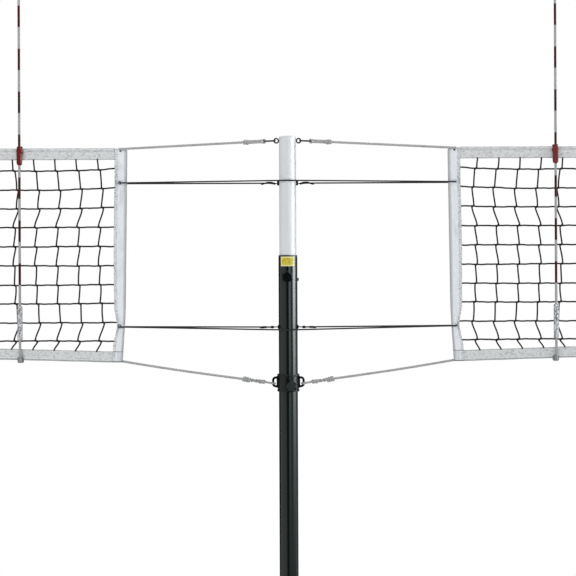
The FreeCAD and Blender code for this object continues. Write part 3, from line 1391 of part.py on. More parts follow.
os.makedirs("parts", exist_ok=True)
for piece in NODES:
    piece.Shape.exportStep("parts/%s.step" % piece.Label)
print("%d nodes, %d solids" % (len(NODES), sum(len(piece.Shape.Solids) for piece in NODES)))
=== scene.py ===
# A volleyball centre post with the ends of its two nets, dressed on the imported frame.
# Metres, +Z up, the nets lie along X and the front is -Y.
import math

import bpy
import numpy as np
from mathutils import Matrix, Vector


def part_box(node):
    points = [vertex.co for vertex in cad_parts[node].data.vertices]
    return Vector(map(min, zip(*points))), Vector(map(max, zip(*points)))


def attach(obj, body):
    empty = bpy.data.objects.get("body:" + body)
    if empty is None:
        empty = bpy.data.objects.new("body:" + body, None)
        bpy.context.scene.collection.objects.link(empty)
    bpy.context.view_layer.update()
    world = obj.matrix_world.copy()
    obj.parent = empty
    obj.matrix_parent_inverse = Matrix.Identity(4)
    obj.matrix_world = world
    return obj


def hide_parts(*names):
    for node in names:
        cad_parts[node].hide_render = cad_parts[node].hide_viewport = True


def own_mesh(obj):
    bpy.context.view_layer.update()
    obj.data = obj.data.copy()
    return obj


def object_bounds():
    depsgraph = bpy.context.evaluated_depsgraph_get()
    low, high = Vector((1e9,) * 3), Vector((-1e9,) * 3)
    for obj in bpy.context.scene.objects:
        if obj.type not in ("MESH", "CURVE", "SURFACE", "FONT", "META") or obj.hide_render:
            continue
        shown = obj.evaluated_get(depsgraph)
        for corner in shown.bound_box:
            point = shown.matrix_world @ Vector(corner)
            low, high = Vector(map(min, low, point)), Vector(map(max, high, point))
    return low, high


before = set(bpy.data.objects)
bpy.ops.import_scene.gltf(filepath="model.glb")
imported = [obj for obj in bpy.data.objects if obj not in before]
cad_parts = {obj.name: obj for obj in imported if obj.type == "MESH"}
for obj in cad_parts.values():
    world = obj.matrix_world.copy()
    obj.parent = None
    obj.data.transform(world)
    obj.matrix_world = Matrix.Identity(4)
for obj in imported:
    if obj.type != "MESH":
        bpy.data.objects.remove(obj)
cad_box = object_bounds()

# Studio: the camera stands level with the middle of the nets in front of the post, rolled by a
# quarter of a degree as the photograph is. Soft boxes light a white floor before a white backdrop.
CAMERA_AWAY = 6.4
CAMERA_HEIGHT = 1.773
CAMERA_LENS = 85.0
CAMERA_SENSOR = 36.0
CAMERA_ROLL = math.radians(0.24)
FLOOR = cad_box[0].z - 0.001
BACKDROP_RADIUS = 40.0
FLOOR_FADE = (1.2, 3.0)
AMBIENT = 0.70
DAYLIGHT = (0.97, 0.985, 1.0, 1)

scene = bpy.context.scene
scene.view_settings.view_transform = "Standard"
camera = bpy.data.objects.new("camera", bpy.data.cameras.new("camera"))
camera.data.lens = CAMERA_LENS
camera.data.sensor_width = CAMERA_SENSOR
camera.data.clip_end = 200
camera.location = (0, -CAMERA_AWAY, CAMERA_HEIGHT)
camera.rotation_euler = (math.radians(90), CAMERA_ROLL, 0)
scene.collection.objects.link(camera)
scene.camera = camera

world = bpy.data.worlds.new("studio")
scene.world = world
world.use_nodes = True
background = world.node_tree.nodes["Background"]
background.inputs["Color"].default_value = DAYLIGHT
background.inputs["Strength"].default_value = AMBIENT


class Value:
    """An output of a finish's nodes, so that sums of outputs are written as sums."""

    def __init__(self, finish, socket):
        self.finish = finish
        self.socket = socket

    def __add__(self, other):
        return self.finish.reckon("ADD", self, other)

    def __sub__(self, other):
        return self.finish.reckon("SUBTRACT", self, other)

    def __rsub__(self, other):
        return self.finish.reckon("SUBTRACT", other, self)

    def __mul__(self, other):
        return self.finish.reckon("MULTIPLY", self, other)

    def __truediv__(self, other):
        return self.finish.reckon("DIVIDE", self, other)

    __radd__ = __add__


class Finish:
    """A material that is mixed from nodes, added one at a time."""

    def __init__(self, name):
        self.material = bpy.data.materials.new(name)
        self.material.use_nodes = True
        self.tree = self.material.node_tree
        self.tree.nodes.clear()

    def node(self, kind, settings, sockets, output=""):
        """Add a node: its settings first, then the values or links of its sockets, by name or number."""
        made = self.tree.nodes.new("ShaderNode" + kind)
        for name, value in settings.items():
            setattr(made, name, value)
        for name, value in sockets.items():
            found = [s for i, s in enumerate(made.inputs) if s.enabled and name in (i, s.name)][0]
            if isinstance(value, Value):
                self.tree.links.new(value.socket, found)
            else:
                found.default_value = value
        outputs = [s for s in made.outputs if s.enabled and output in ("", s.name)]
        return Value(self, outputs[0]) if outputs else None

    def reckon(self, operation, *values):
        """A number worked out from one or two others."""
        return self.node("Math", {"operation": operation}, dict(enumerate(values)))

    def place(self):
        """Where a point is on the part, in metres."""
        return self.node("TexCoord", {}, {}, "Object")

    def lay(self):
        """Where a point lies across and along its own cloth or cord, in metres."""
        return self.node("UVMap", {"uv_map": "lay"}, {})

    def axis(self, letter, where=None):
        return self.node("SeparateXYZ", {}, {"Vector": where or self.place()}, letter)

    def scaled(self, where, scale):
        return self.node("VectorMath", {"operation": "MULTIPLY"}, {0: where, 1: scale})

    def turned(self, where, degrees):
        sockets = {"Vector": where, "Angle": math.radians(degrees)}
        return self.node("VectorRotate", {"rotation_type": "Z_AXIS"}, sockets)

    def cells(self, where, randomness):
        """Square cells, one to a unit, higher towards their edges."""
        sockets = {"Vector": where, "Randomness": randomness}
        return self.node("TexVoronoi", {"distance": "CHEBYCHEV"}, sockets, "Distance")

    def noise(self, lump, detail=3.0, stretch=(1, 1, 1), where=None):
        """Noise from 0 to 1 with lumps of a size in metres, drawn out along some axes."""
        spread = self.scaled(where or self.place(), tuple(1 / (lump * share) for share in stretch))
        return self.node("TexNoise", {}, {"Vector": spread, "Scale": 1.0, "Detail": detail}, "Fac")

    def step(self, value, low, high):
        """0 at low, 1 at high, eased between them."""
        sockets = {"Value": value, "From Min": low, "From Max": high}
        return self.node("MapRange", {"interpolation_type": "SMOOTHSTEP"}, sockets, "Result")

    def mix(self, share, first, second):
        sockets = {"Factor": share, "A": first, "B": second}
        return self.node("Mix", {"data_type": "RGBA"}, sockets, "Result")

    def surface(self, colour, roughness, height=None, depth=0.0, **steady):
        """End the finish in a surface whose bumps are as deep as depth, in metres."""
        sockets = {"Base Color": colour, "Roughness": roughness}
        if height:
            sockets["Normal"] = self.node("Bump", {}, {"Height": height, "Distance": depth})
        for name, value in steady.items():
            sockets[name.replace("_", " ")] = value
        shader = self.node("BsdfPrincipled", {}, sockets)
        self.node("OutputMaterial", {}, {"Surface": shader})
        return self

    def glow(self, colour, strength=1.0):
        """End the finish in light of its own."""
        light = self.node("Emission", {}, {"Color": colour, "Strength": strength})
        self.node("OutputMaterial", {}, {"Surface": light})
        return self


def grey(level):
    return (level, level, level, 1)


paper = Finish("studio_paper")
from_post = paper.node("VectorMath", {"operation": "LENGTH"}, {0: paper.place()}, "Value")
lit = paper.node("BsdfDiffuse", {}, {"Color": grey(0.86)})
glow = paper.node("Emission", {}, {"Color": grey(1.0)})
faded = paper.node("MixShader", {}, {0: paper.step(from_post, *FLOOR_FADE), 1: lit, 2: glow})
paper.node("OutputMaterial", {}, {"Surface": faded})
white = Finish("studio_white").glow(grey(1.0))


def hide_from(piece, *rays):
    for ray in rays:
        setattr(piece, "visible_" + ray, False)


def stage_plane(name, finish, corners):
    mesh = bpy.data.meshes.new(name)
    mesh.from_pydata(corners, [], [tuple(range(len(corners)))])
    mesh.materials.append(finish.material)
    plane = bpy.data.objects.new(name, mesh)
    scene.collection.objects.link(plane)
    return plane


FLOOR_EDGE = 30.0
floor = stage_plane("floor", paper, [
    (math.cos(turn) * FLOOR_EDGE, math.sin(turn) * FLOOR_EDGE, FLOOR)
    for turn in np.linspace(0, math.tau, 48, endpoint=False)])
bpy.ops.mesh.primitive_uv_sphere_add(radius=BACKDROP_RADIUS, segments=48, ring_count=24)
backdrop = bpy.context.object
backdrop.name = "backdrop"
backdrop.data.materials.append(white.material)
hide_from(backdrop, "diffuse", "glossy", "transmission", "shadow")
hide_from(floor, "glossy", "shadow")

# Cards that only some rays see. Each stands upright between two bearings, in degrees from the
# camera's side towards +X. Those for reflections give the tubes their light and dark lines, and the
# last number is what is left of a card's light a metre below CARD_FADE_TOP.
CARD_AWAY = 9.0
CARD_HEIGHTS = (-7.0, 9.0)
CARD_FADE_TOP = 1.75


def stand_card(name, finish, bearings, unseen_by):
    start, end = [(math.sin(b) * CARD_AWAY, -math.cos(b) * CARD_AWAY) for b in map(math.radians, bearings)]
    low, high = CARD_HEIGHTS
    card = stage_plane(name, finish, [(*start, low), (*end, low), (*end, high), (*start, high)])
    hide_from(card, "camera", "transmission", "shadow", unseen_by)


for bearings, colour, strength, fading in (
        ((-30, -19), (0.9, 1.0, 0.95, 1), 0.35, 1.0), ((-19, 8), (1, 1, 1, 1), 0.0, 1.0),
        ((10, 33), (0.80, 0.97, 1.0, 1), 2.2, 0.6), ((34, 56), (0.6, 0.85, 1.0, 1), 0.45, 1.0),
        ((61, 100), (0.92, 0.98, 1.0, 1), 12.0, 0.33), ((122, 178), (1, 1, 1, 1), 0.15, 1.0),
        ((-178, -112), (1, 1, 1, 1), 0.05, 1.0)):
    card_finish = Finish("studio_card_%d" % bearings[0])
    left = card_finish.reckon("POWER", fading, CARD_FADE_TOP - card_finish.axis("Z"))
    left = card_finish.reckon("MINIMUM", left, 1.0)
    stand_card("card_%d" % bearings[0], card_finish.glow(colour, left * strength), bearings, "diffuse")

# Flags for soft light: dark ones a little behind each side, which draw the edges, and a bright one
# at the back that makes up for them there.
for bearings, level in (((-150, -97), 0.08), ((97, 150), 0.08), ((150, 210), 1.15)):
    flag_finish = Finish("studio_flag_%d" % bearings[0]).glow(DAYLIGHT, level)
    stand_card("flag_%d" % bearings[0], flag_finish, bearings, "glossy")

POST_MIDDLE = (0, 0, 1.7)


def soft_box(name, place, width, height, power):
    """A rectangular lamp that looks at the middle of the post."""
    lamp = bpy.data.lights.new(name, "AREA")
    lamp.shape = "RECTANGLE"
    lamp.size = width
    lamp.size_y = height
    lamp.energy = power
    box = bpy.data.objects.new(name, lamp)
    box.location = place
    box.rotation_euler = (Vector(POST_MIDDLE) - Vector(place)).to_track_quat("-Z", "Y").to_euler()
    hide_from(box, "camera", "glossy")
    scene.collection.objects.link(box)


soft_box("key", (-3.6, -5.2, 4.4), 2.6, 2.6, 110)
soft_box("side", (4.6, -1.4, 2.4), 1.6, 3.0, 20)
soft_box("top", (0, 0.6, 6.2), 4.0, 2.0, 60)


def dress(finish, *names):
    """Give CAD pieces their finish, smooth between their sharp edges."""
    for name in names:
        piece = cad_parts[name]
        piece.data.materials.clear()
        piece.data.materials.append(finish.material)
        piece.data.shade_smooth()
        piece.data.set_sharp_from_angle(angle=math.radians(35))


# Lower tube: an aluminium extrusion with a satin black powder coat, closed at its foot by a moulded
# plug. The coat is rubbed by the bush above, by the ground sleeve below and by the collar.
LOWER_R = 0.04445
LOWER_TOP = 1.923
coat = Finish("black_powder_coat")
height = coat.axis("Z")
haze = coat.noise(0.03, 4.0, (1, 1, 5))
rubbed = coat.step(coat.noise(0.006, 5.0, (0.3, 0.3, 9)), 0.60, 0.78) * coat.step(height, 0.30, -0.05)
lip = coat.step(height, LOWER_TOP - 0.012, LOWER_TOP - 0.001) * coat.step(coat.noise(0.004), 0.45, 0.7)
worn = rubbed + lip
colour = coat.mix(haze, (0.0038, 0.0066, 0.0052, 1), (0.0060, 0.0095, 0.0078, 1))
colour = coat.mix(worn * 0.6, colour, grey(0.16))
coat.surface(colour, 0.10 + haze * 0.05 + worn * 0.2, IOR=1.5)
dress(coat, "lower_tube", "mast_boss")


def scuffed(name, lumps, edges, share, whole, bare, roughness, level, grain=None, depth=0.00003):
    """A moulding or coat with scuffs, which are rougher and show some of what is below."""
    finish = Finish(name)
    scuffs = finish.step(finish.noise(*lumps), *edges)
    height = finish.noise(*grain) if grain else scuffs
    colour = finish.mix(scuffs * share, whole, bare)
    return finish.surface(colour, roughness + scuffs * 0.2, height, depth, Specular_IOR_Level=level)


plastic = scuffed("black_moulding", (0.009, 6.0), (0.58, 0.74), 0.35, (0.003, 0.004, 0.004, 1),
                  (0.018, 0.022, 0.022, 1), 0.20, 0.3, (0.0009, 2.0), 0.00005)
dress(plastic, "foot_plug", "mast_knob", "collar_knob", "pull_pin_knob")

# Guide bush and slide bush: turned black nylon, polished to a sheen where the tubes run in them.


def mottled(name, spots, dark, light, roughness, spread, depth, grain=None, **steady):
    """A surface between two colours, with roughness and bumps that follow its spots or a finer grain."""
    finish = Finish(name)
    spots = finish.noise(*spots)
    height = finish.noise(*grain) if grain else spots
    if spread:
        roughness = roughness + spots * spread
    return finish.surface(finish.mix(spots, dark, light), roughness, height, depth, **steady)


nylon = mottled("black_nylon", (0.0012, 1.0, (60, 60, 1)), grey(0.012), grey(0.026), 0.34, 0.12, 0.00003)
dress(nylon, "guide_bush", "slide_bush", "mast_stud_tip")

# Label plate: a bare yellow plate with a paler rim, glued below the mouth of the tube. Its print side
# is plain, a little mottled and faded where hands rub it.
LABEL_TOP = 1.920
LABEL_TALL = 0.045
LABEL_HALF_TURN = 44.5
LABEL_AZIMUTH = -92.5
RIM = 0.0055
RIM_BLUR = 0.0015
label = Finish("label_yellow")
height = label.axis("Z")
azimuth = label.reckon("ARCTAN2", label.axis("Y"), label.axis("X"))
aside = label.reckon("ABSOLUTE", (azimuth - math.radians(LABEL_AZIMUTH)) * LOWER_R)
half_width = math.radians(LABEL_HALF_TURN) * LOWER_R
label_foot = LABEL_TOP - LABEL_TALL
inner = label.step(aside, half_width - RIM, half_width - RIM - RIM_BLUR)
inner = inner * label.step(height, label_foot + RIM, label_foot + RIM + RIM_BLUR)
inner = inner * label.step(height, LABEL_TOP - RIM, LABEL_TOP - RIM - RIM_BLUR)
mottle = label.noise(0.011, 4.0)
field = label.mix(label.step(mottle, 0.35, 0.7), (0.62, 0.52, 0.03, 1), (0.40, 0.31, 0.02, 1))
colour = label.mix(inner, (0.72, 0.66, 0.28, 1), field)
colour = label.mix(label.step(label.noise(0.004, 5.0), 0.62, 0.75) * 0.5, colour, grey(0.12))
label.surface(colour, 0.38 + mottle * 0.15, mottle, 0.00008)
dress(label, "label_plate")

# Screws and nuts: zinc-plated steel, turned bright and a little dulled by weather. The pull pin and its
# housing are of dark plated steel.
steel = mottled("zinc_plate", (0.004, 5.0), (0.22, 0.23, 0.25, 1), (0.42, 0.43, 0.45, 1), 0.28, 0.25, 0.00003,
                (0.0007, 1.0), Metallic=1.0)
dress(steel, "mast_stud", "collar_stud", "eye_bolt_nuts")
dark_steel = mottled("dark_plated_steel", (0.004, 5.0), (0.012, 0.012, 0.014, 1), (0.040, 0.040, 0.045, 1),
                     0.34, 0.2, 0.00003, (0.0007, 1.0), Specular_IOR_Level=0.3)
dress(dark_steel, "pull_pin", "pin_housing")

# Mast: a satin anodised aluminium tube, drawn lengthwise, with fine scratches from the bush, and a
# cap turned from the same stock.
mast_finish = Finish("satin_aluminium")
height = mast_finish.axis("Z")
drawn = mast_finish.noise(0.0016, 2.0, (1, 1, 90))
handled = mast_finish.noise(0.05, 5.0, (1, 1, 2.5))
scratches = mast_finish.step(mast_finish.noise(0.0030, 4.0, (0.35, 0.35, 10)), 0.66, 0.76)
colour = mast_finish.mix(handled, (0.585, 0.60, 0.615, 1), (0.64, 0.655, 0.665, 1))
colour = mast_finish.mix(scratches * 0.25, colour, grey(0.48))
roughness = 0.40 + handled * 0.06 + drawn * 0.05
mast_finish.surface(colour, roughness, drawn, 0.00001, IOR=1.8)
dress(mast_finish, "upper_tube", "top_cap")


class Skin:
    """Faces gathered into one mesh, with each corner's place across and along its cloth or cord."""

    def __init__(self):
        self.points = []
        self.faces = []
        self.lays = []

    def grid(self, rows, across, along, closed=False, capped=False):
        """Faces between rows of points. A closed row joins up and has one more value in across."""
        start = len(self.points)
        count, width = rows.shape[:2]
        self.points.extend(rows.reshape(-1, 3).tolist())
        for i in range(count - 1):
            for j in range(width if closed else width - 1):
                low = start + i * width
                high = low + width
                k = (j + 1) % width
                self.faces.append((low + j, low + k, high + k, high + j))
                self.lays.append((
                    (across[j], along[i]), (across[j + 1], along[i]),
                    (across[j + 1], along[i + 1]), (across[j], along[i + 1])))
        if capped:
            last = start + (count - 1) * width
            self.faces.append(tuple(range(start + width - 1, start - 1, -1)))
            self.faces.append(tuple(range(last, last + width)))
            self.lays.extend([((0.0, along[0]),) * width, ((0.0, along[-1]),) * width])

    def turn_over(self):
        self.faces = [face[::-1] for face in self.faces]
        self.lays = [lay[::-1] for lay in self.lays]

    def piece(self, name, finish, slot, body="mast", side=1, replaced=()):
        """The mesh as a piece on a body, for the right side or, with side -1, mirrored for the left."""
        mesh = bpy.data.meshes.new(name)
        points = [(x * side, y, z) for x, y, z in self.points]
        faces = [face[::side] for face in self.faces]
        mesh.from_pydata(points, [], faces)
        layer = mesh.uv_layers.new(name="lay")
        corners = [corner for lay in self.lays for corner in lay[::side]]
        layer.data.foreach_set("uv", [value for corner in corners for value in corner])
        mesh.polygons.foreach_set("use_smooth", [True] * len(faces))
        mesh.materials.append(finish.material)
        made = bpy.data.objects.new(name, mesh)
        scene.collection.objects.link(made)
        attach(made, body)
        if replaced:
            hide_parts(*replaced)
        return made


def frames(line):
    """Unit vectors across and over at each point of a line, carried along it without a twist."""
    ahead = np.gradient(line, axis=0)
    ahead /= np.linalg.norm(ahead, axis=1)[:, None]
    side = np.cross(ahead[0], (0.0, 0.0, 1.0) if abs(ahead[0][2]) < 0.9 else (0.0, 1.0, 0.0))
    across = []
    for direction in ahead:
        side = side - direction * (side @ direction)
        side = side / np.linalg.norm(side)
        across.append(side)
    across = np.array(across)
    return across, np.cross(ahead, across)


def runs(line):
    """How far along a line each of its points lies."""
    return np.concatenate([[0.0], np.cumsum(np.linalg.norm(np.diff(line, axis=0), axis=1))])


def evenly(line, step):
    """A line with its points a step apart."""
    run = runs(line)
    count = max(3, int(round(run[-1] / step)) + 1)
    places = np.linspace(0, run[-1], count)
    return np.stack([np.interp(places, run, line[:, i]) for i in range(3)], axis=1)


def add_tube(skin, line, radius, sides):
    """A round tube on a line, with a radius or one radius for each point."""
    across, over = frames(line)
    turns = np.linspace(0, math.tau, sides, endpoint=False)[None, :, None]
    ring = np.cos(turns) * across[:, None, :] + np.sin(turns) * over[:, None, :]
    radii = np.broadcast_to(radius, len(line))
    rows = line[:, None, :] + ring * radii[:, None, None]
    width = float(np.max(radii)) * math.tau
    skin.grid(rows, np.linspace(0, width, sides + 1), runs(line), closed=True, capped=True)


STRANDS = 3
STRAND_LAY = 3.4


def add_rope(skin, line, across):
    """A laid rope on an even line: strands that turn round it once in STRAND_LAY diameters."""
    share = 1 / (1 + 1 / math.sin(math.pi / STRANDS))
    strand_r = across / 2 * share * 1.04
    off = across / 2 - strand_r
    side, over = frames(line)
    for k in range(STRANDS):
        turn = runs(line) / (STRAND_LAY * across) * math.tau + k * math.tau / STRANDS
        centre = line + off * (np.cos(turn)[:, None] * side + np.sin(turn)[:, None] * over)
        add_tube(skin, centre, strand_r, 7)


def route(points, step):
    """The smooth line of a cord: a NURBS spline with the route's points, read at even steps."""
    curve = bpy.data.curves.new("route", "CURVE")
    curve.dimensions = "3D"
    curve.resolution_u = 24
    spline = curve.splines.new("NURBS")
    spline.points.add(len(points) - 1)
    for spot, point in zip(spline.points, points):
        spot.co = (*point, 1.0)
    spline.order_u = 3
    spline.use_endpoint_u = True
    holder = bpy.data.objects.new("route", curve)
    mesh = bpy.data.meshes.new_from_object(holder)
    line = np.array([vertex.co for vertex in mesh.vertices], float)
    bpy.data.meshes.remove(mesh)
    bpy.data.objects.remove(holder)
    bpy.data.curves.remove(curve)
    return evenly(line, step)


def mirrored(points, side):
    return [(x * side, y, z) for x, y, z in points]


def tube_piece(name, line, radius, sides, finish, slot, **settings):
    skin = Skin()
    add_tube(skin, line, radius, sides)
    return skin.piece(name, finish, slot, **settings)


def slanting(start, degrees):
    """Points at a distance along a slope, offset aside in Y and above it."""
    slope = math.radians(degrees)
    run = np.array([math.cos(slope), 0, math.sin(slope)])
    rise = np.array([-math.sin(slope), 0, math.cos(slope)])

    def at(distance, aside=0.0, above=0.0):
        return tuple(np.array(start) + run * distance + rise * above + np.array([0, aside, 0]))

    return at


# Pin spring: a coil of spring wire round the pin's rod, pressed together as the pin is drawn.
PIN_AZIMUTH = math.radians(52)
PIN_HEIGHT = 1.814
SPRING_RUN = (0.05015, 0.06195)
SPRING_TURNS = 4.6
SPRING_R = 0.0034
SPRING_WIRE = 0.0008
out = np.array([math.cos(PIN_AZIMUTH), math.sin(PIN_AZIMUTH), 0])
beside = np.array([-math.sin(PIN_AZIMUTH), math.cos(PIN_AZIMUTH), 0])
turn = np.linspace(0, SPRING_TURNS * math.tau, 120)[:, None]
along = np.linspace(SPRING_RUN[0] + SPRING_WIRE / 2, SPRING_RUN[1] - SPRING_WIRE / 2, 120)[:, None]
coil = along * out + SPRING_R * (np.cos(turn) * beside + np.sin(turn) * np.array([0, 0, 1]))
coil[:, 2] += PIN_HEIGHT
coil = tube_piece("pin_spring_coil", coil, SPRING_WIRE / 2, 6, steel, "spring_steel", body="post",
                  replaced=["pin_spring"])
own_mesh(coil)

# Eye bolts: forged rings on shanks that go through the mast, dark plated.
EYE_X = 0.0526
EYE_Z = 2.466
EYE_RING_R = 0.0104
EYE_WIRE = 0.0068
EYE_SHANK_R = 0.004
SIDES = ((-1, "left"), (1, "right"))
shank_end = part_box("eye_bolt_right")[0][0]
turn = np.linspace(0, math.tau, 49)
ring = np.stack([EYE_X - EYE_RING_R * np.cos(turn), turn * 0, EYE_Z + EYE_RING_R * np.sin(turn)], axis=1)
shank = np.array([(shank_end, 0, EYE_Z), (EYE_X - EYE_RING_R, 0, EYE_Z)])
skin = Skin()
add_tube(skin, ring, EYE_WIRE / 2, 14)
add_tube(skin, evenly(shank, 0.002), EYE_SHANK_R, 16)
for side, name in SIDES:
    skin.piece("eye_ring_" + name, dark_steel, "steel", side=side, replaced=["eye_bolt_" + name])

# Top slings: a dark braided cord through each eye bolt, closed by a pressed sleeve. It holds the
# bight of the net's corner rope.
SLING_SHOWN = 0.0064
SLING_FALL = -2.7
EYE = (0.0626, 0, 2.466)
SLING_BACK = -0.0054
SLING_END = 0.049
SLING_GAP = 0.00755
sling_at = slanting(EYE, SLING_FALL)


def braid_finish(name, cells, light, dark, roughness, depth, level, fuzz=0.0):
    """A braid of slanting strands, with so many cells to the metre across and along, and its fuzz."""
    finish = Finish(name)
    slanted = finish.turned(finish.scaled(finish.lay(), (*cells, 0)), 45)
    strands = finish.cells(slanted, 0.0)
    height = strands + finish.noise(0.0008, 3.0) * fuzz if fuzz else strands
    colour = finish.mix(strands, light, dark)
    return finish.surface(colour, roughness, height, depth, Specular_IOR_Level=level)


braid = braid_finish("dark_braid", (800, 800), grey(0.050), grey(0.012), 0.8, 0.0003, 0.2, 0.4)
press = mottled("pressed_sleeve", (0.002,), grey(0.03), grey(0.07), 0.4, 0.0, 0.0001, (0.001,))
sling_route = [sling_at(distance, aside) for distance, aside in (
    (0.022, SLING_GAP), (0.004, SLING_GAP), (SLING_BACK, SLING_GAP), (SLING_BACK, -SLING_GAP),
    (0.004, -SLING_GAP), (0.036, -SLING_GAP), (SLING_END, -SLING_GAP), (SLING_END, SLING_GAP),
    (0.036, SLING_GAP), (0.022, SLING_GAP))]
sleeve_core = evenly(np.array([sling_at(0.014, SLING_GAP), sling_at(0.030, SLING_GAP)]), 0.002)
for side, name in SIDES:
    points = mirrored(sling_route, side)
    line = route(points, 0.0012)
    sling = tube_piece("sling_" + name, line, SLING_SHOWN / 2, 10, braid, "sling_cord",
                       replaced=["top_sling_" + name])
    sleeve = tube_piece("sling_sleeve_" + name, sleeve_core, 0.0034, 14, press, "sling_cord", side=side)

# Corner ropes: grey laid rope. Each runs from a stopper knot at the band's corner to a knot of close
# turns, and its bight goes on to the sling.
ROPE = 0.0095
ROPE_STEP = 0.0024
ROPE_SHOWN = 0.0123
TOP_KNOT = (0.114, 0.147)
CORNER = (0.786, -0.01505, 2.4285)
rope_finish = Finish("grey_laid_rope")
yarns = rope_finish.noise(0.0009, 3.0, (0.5, 6, 1), rope_finish.lay())
dirt = rope_finish.noise(0.03, 5.0)
colour = rope_finish.mix(yarns, (0.29, 0.29, 0.29, 1), (0.48, 0.48, 0.48, 1))
colour = rope_finish.mix(rope_finish.step(dirt, 0.5, 0.8) * 0.5, colour, (0.20, 0.197, 0.193, 1))
rope_finish.surface(colour, 0.85, yarns, 0.0002, Sheen_Weight=0.15)


def knot_line(start, end, across, rope, turns):
    """A rope wound round the axis from start to end, with its last turn ridden back over the others."""
    start = np.array(start)
    axis = np.array(end) - start
    length = np.linalg.norm(axis)
    axis = axis / length
    side = np.cross(axis, (0, 0, 1))
    side = side / np.linalg.norm(side)
    over = np.cross(side, axis)
    out = across / 2 - rope / 2
    last = turns + 0.75
    stops = np.array([
        (0.00, 0.02, 0.2), (0.3, 0.10, 0.82), (turns * 0.5, 0.48, 1.0), (turns, 0.88, 0.86),
        (turns + 0.35, 0.84, 1.0), (last, 0.50, 1.22), (last + 0.4, 0.16, 1.0), (last + 0.7, 0.04, 0.4)])
    angle = np.linspace(0, stops[-1, 0], 180)
    along, reach = [
        np.convolve(np.pad(np.interp(angle, stops[:, 0], values), 4, mode="edge"), np.ones(9) / 9, mode="valid")
        for values in (stops[:, 1], stops[:, 2])]
    turn = angle * math.tau
    around = np.cos(turn)[:, None] * side + np.sin(turn)[:, None] * over
    return start + axis * (along * length)[:, None] + around * (reach * out)[:, None]


def add_core(skin, start, end, across):
    """What the turns of a knot are wound on, seen between them: a barrel with narrow ends."""
    line = evenly(np.array([start, end]), 0.001)
    share = np.linspace(0, 1, len(line))
    add_tube(skin, line, across / 2 * (0.45 + 0.55 * np.sin(share * math.pi) ** 0.5), 14)


def knot_piece(name, knots, lines, side):
    """Knots, each from start to end with its size across, and loose strands between them."""
    skin = Skin()
    for start, end, across in knots:
        length = float(np.linalg.norm(np.array(end) - np.array(start)))
        strand = min(ROPE, across * 0.44)
        add_core(skin, start, end, across - strand * 1.1)
        turns = max(1.4, length / strand * 0.80)
        add_rope(skin, evenly(knot_line(start, end, across, strand, turns), ROPE_STEP), strand)
    for line in lines:
        add_rope(skin, evenly(np.asarray(line), ROPE_STEP), ROPE)
    return skin.piece(name, rope_finish, "rope", side=side)


def rope_piece(name, line, across, replaced):
    skin = Skin()
    add_rope(skin, line, across)
    return skin.piece(name, rope_finish, "rope", replaced=replaced)


def corner_rope(level, side, name, bight_route, rope_route, bight_for):
    """The rope of a net's corner and the bight beyond its knots, which stands for its own CAD piece."""
    bight_line = route(mirrored(bight_route, side), ROPE_STEP)
    rope_line = route(mirrored(rope_route, side), ROPE_STEP)
    bight = rope_piece("%s_bight_%s" % (level, name), bight_line, ROPE, [bight_for])
    rope = rope_piece("%s_corner_rope_%s" % (level, name), rope_line, ROPE_SHOWN,
                      ["%s_rope_%s" % (level, name)])


knot_start, knot_end = TOP_KNOT
top_leg = ((knot_start + 0.0095, 0.0046), (knot_start - 0.020, 0.0046), (0.068, 0.0044), (0.058, 0.0046),
           (0.0520, 0.0068), (0.0430, 0.0076))
top_bight = [sling_at(distance, 0, above) for distance, above in (
    *top_leg, (0.0410, 0.0), *((distance, -above) for distance, above in reversed(top_leg)))]
rope_start = np.array(sling_at(knot_end))
rope_way = np.array(CORNER) - rope_start
top_route = [tuple(rope_start + rope_way * share) for share in (0.0, 0.35, 0.7, 1.0)]
stopper_half = rope_way / np.linalg.norm(rope_way) * 0.0070
for side, name in SIDES:
    knot = knot_piece("top_rope_knot_" + name, [(sling_at(knot_start), sling_at(knot_end), 0.026)], [], side)
    stopper = knot_piece("corner_stopper_" + name, [
        (np.array(CORNER) - stopper_half, np.array(CORNER) + stopper_half, 0.0135)], [], side)
    corner_rope("top", side, name, top_bight, top_route, "top_knot_" + name)

# Bottom corner ropes: each leaves the band's foot, is knotted, lies twisted for a stretch and is
# knotted again, and its bight goes round the outer bar of the collar's ring.
BAR = (0.0715, 0, 1.325)
BAR_RISE = 8.3
SMALL_KNOT = (0.036, 0.074)
BIG_KNOT = (0.105, 0.149)
TWIST_LENGTH = 0.040
TWIST_R = 0.0042
BAND_FOOT_END = (0.77805, 0, 1.43075)
bar_at = slanting(BAR, BAR_RISE)
bottom_leg = ((SMALL_KNOT[0] + 0.0095, 0.0049), (SMALL_KNOT[0] - 0.004, 0.0056), (0.018, 0.0080),
              (0.004, 0.0098), (-0.0074, 0.0088))
bottom_bight = [bar_at(distance, aside) for distance, aside in (
    *bottom_leg, (-0.0082, 0.0), *((distance, -aside) for distance, aside in reversed(bottom_leg)))]
foot_start = np.array(bar_at(BIG_KNOT[1] + 0.0002))
foot_way = np.array(BAND_FOOT_END) - foot_start
bottom_route = [tuple(foot_start + foot_way * share - np.array([0, 0, sag]))
                for share, sag in ((0.0, 0.0), (0.35, 0.003), (0.7, 0.003), (1.0, 0.0))]
twist_run = np.linspace(SMALL_KNOT[1] - 0.004, BIG_KNOT[0] + 0.004, 40)
twisted = []
for start_turn in (0.0, math.pi):
    turn = start_turn + (twist_run - twist_run[0]) / TWIST_LENGTH * math.tau
    twisted.append([bar_at(d, TWIST_R * math.cos(t), TWIST_R * math.sin(t)) for d, t in zip(twist_run, turn)])
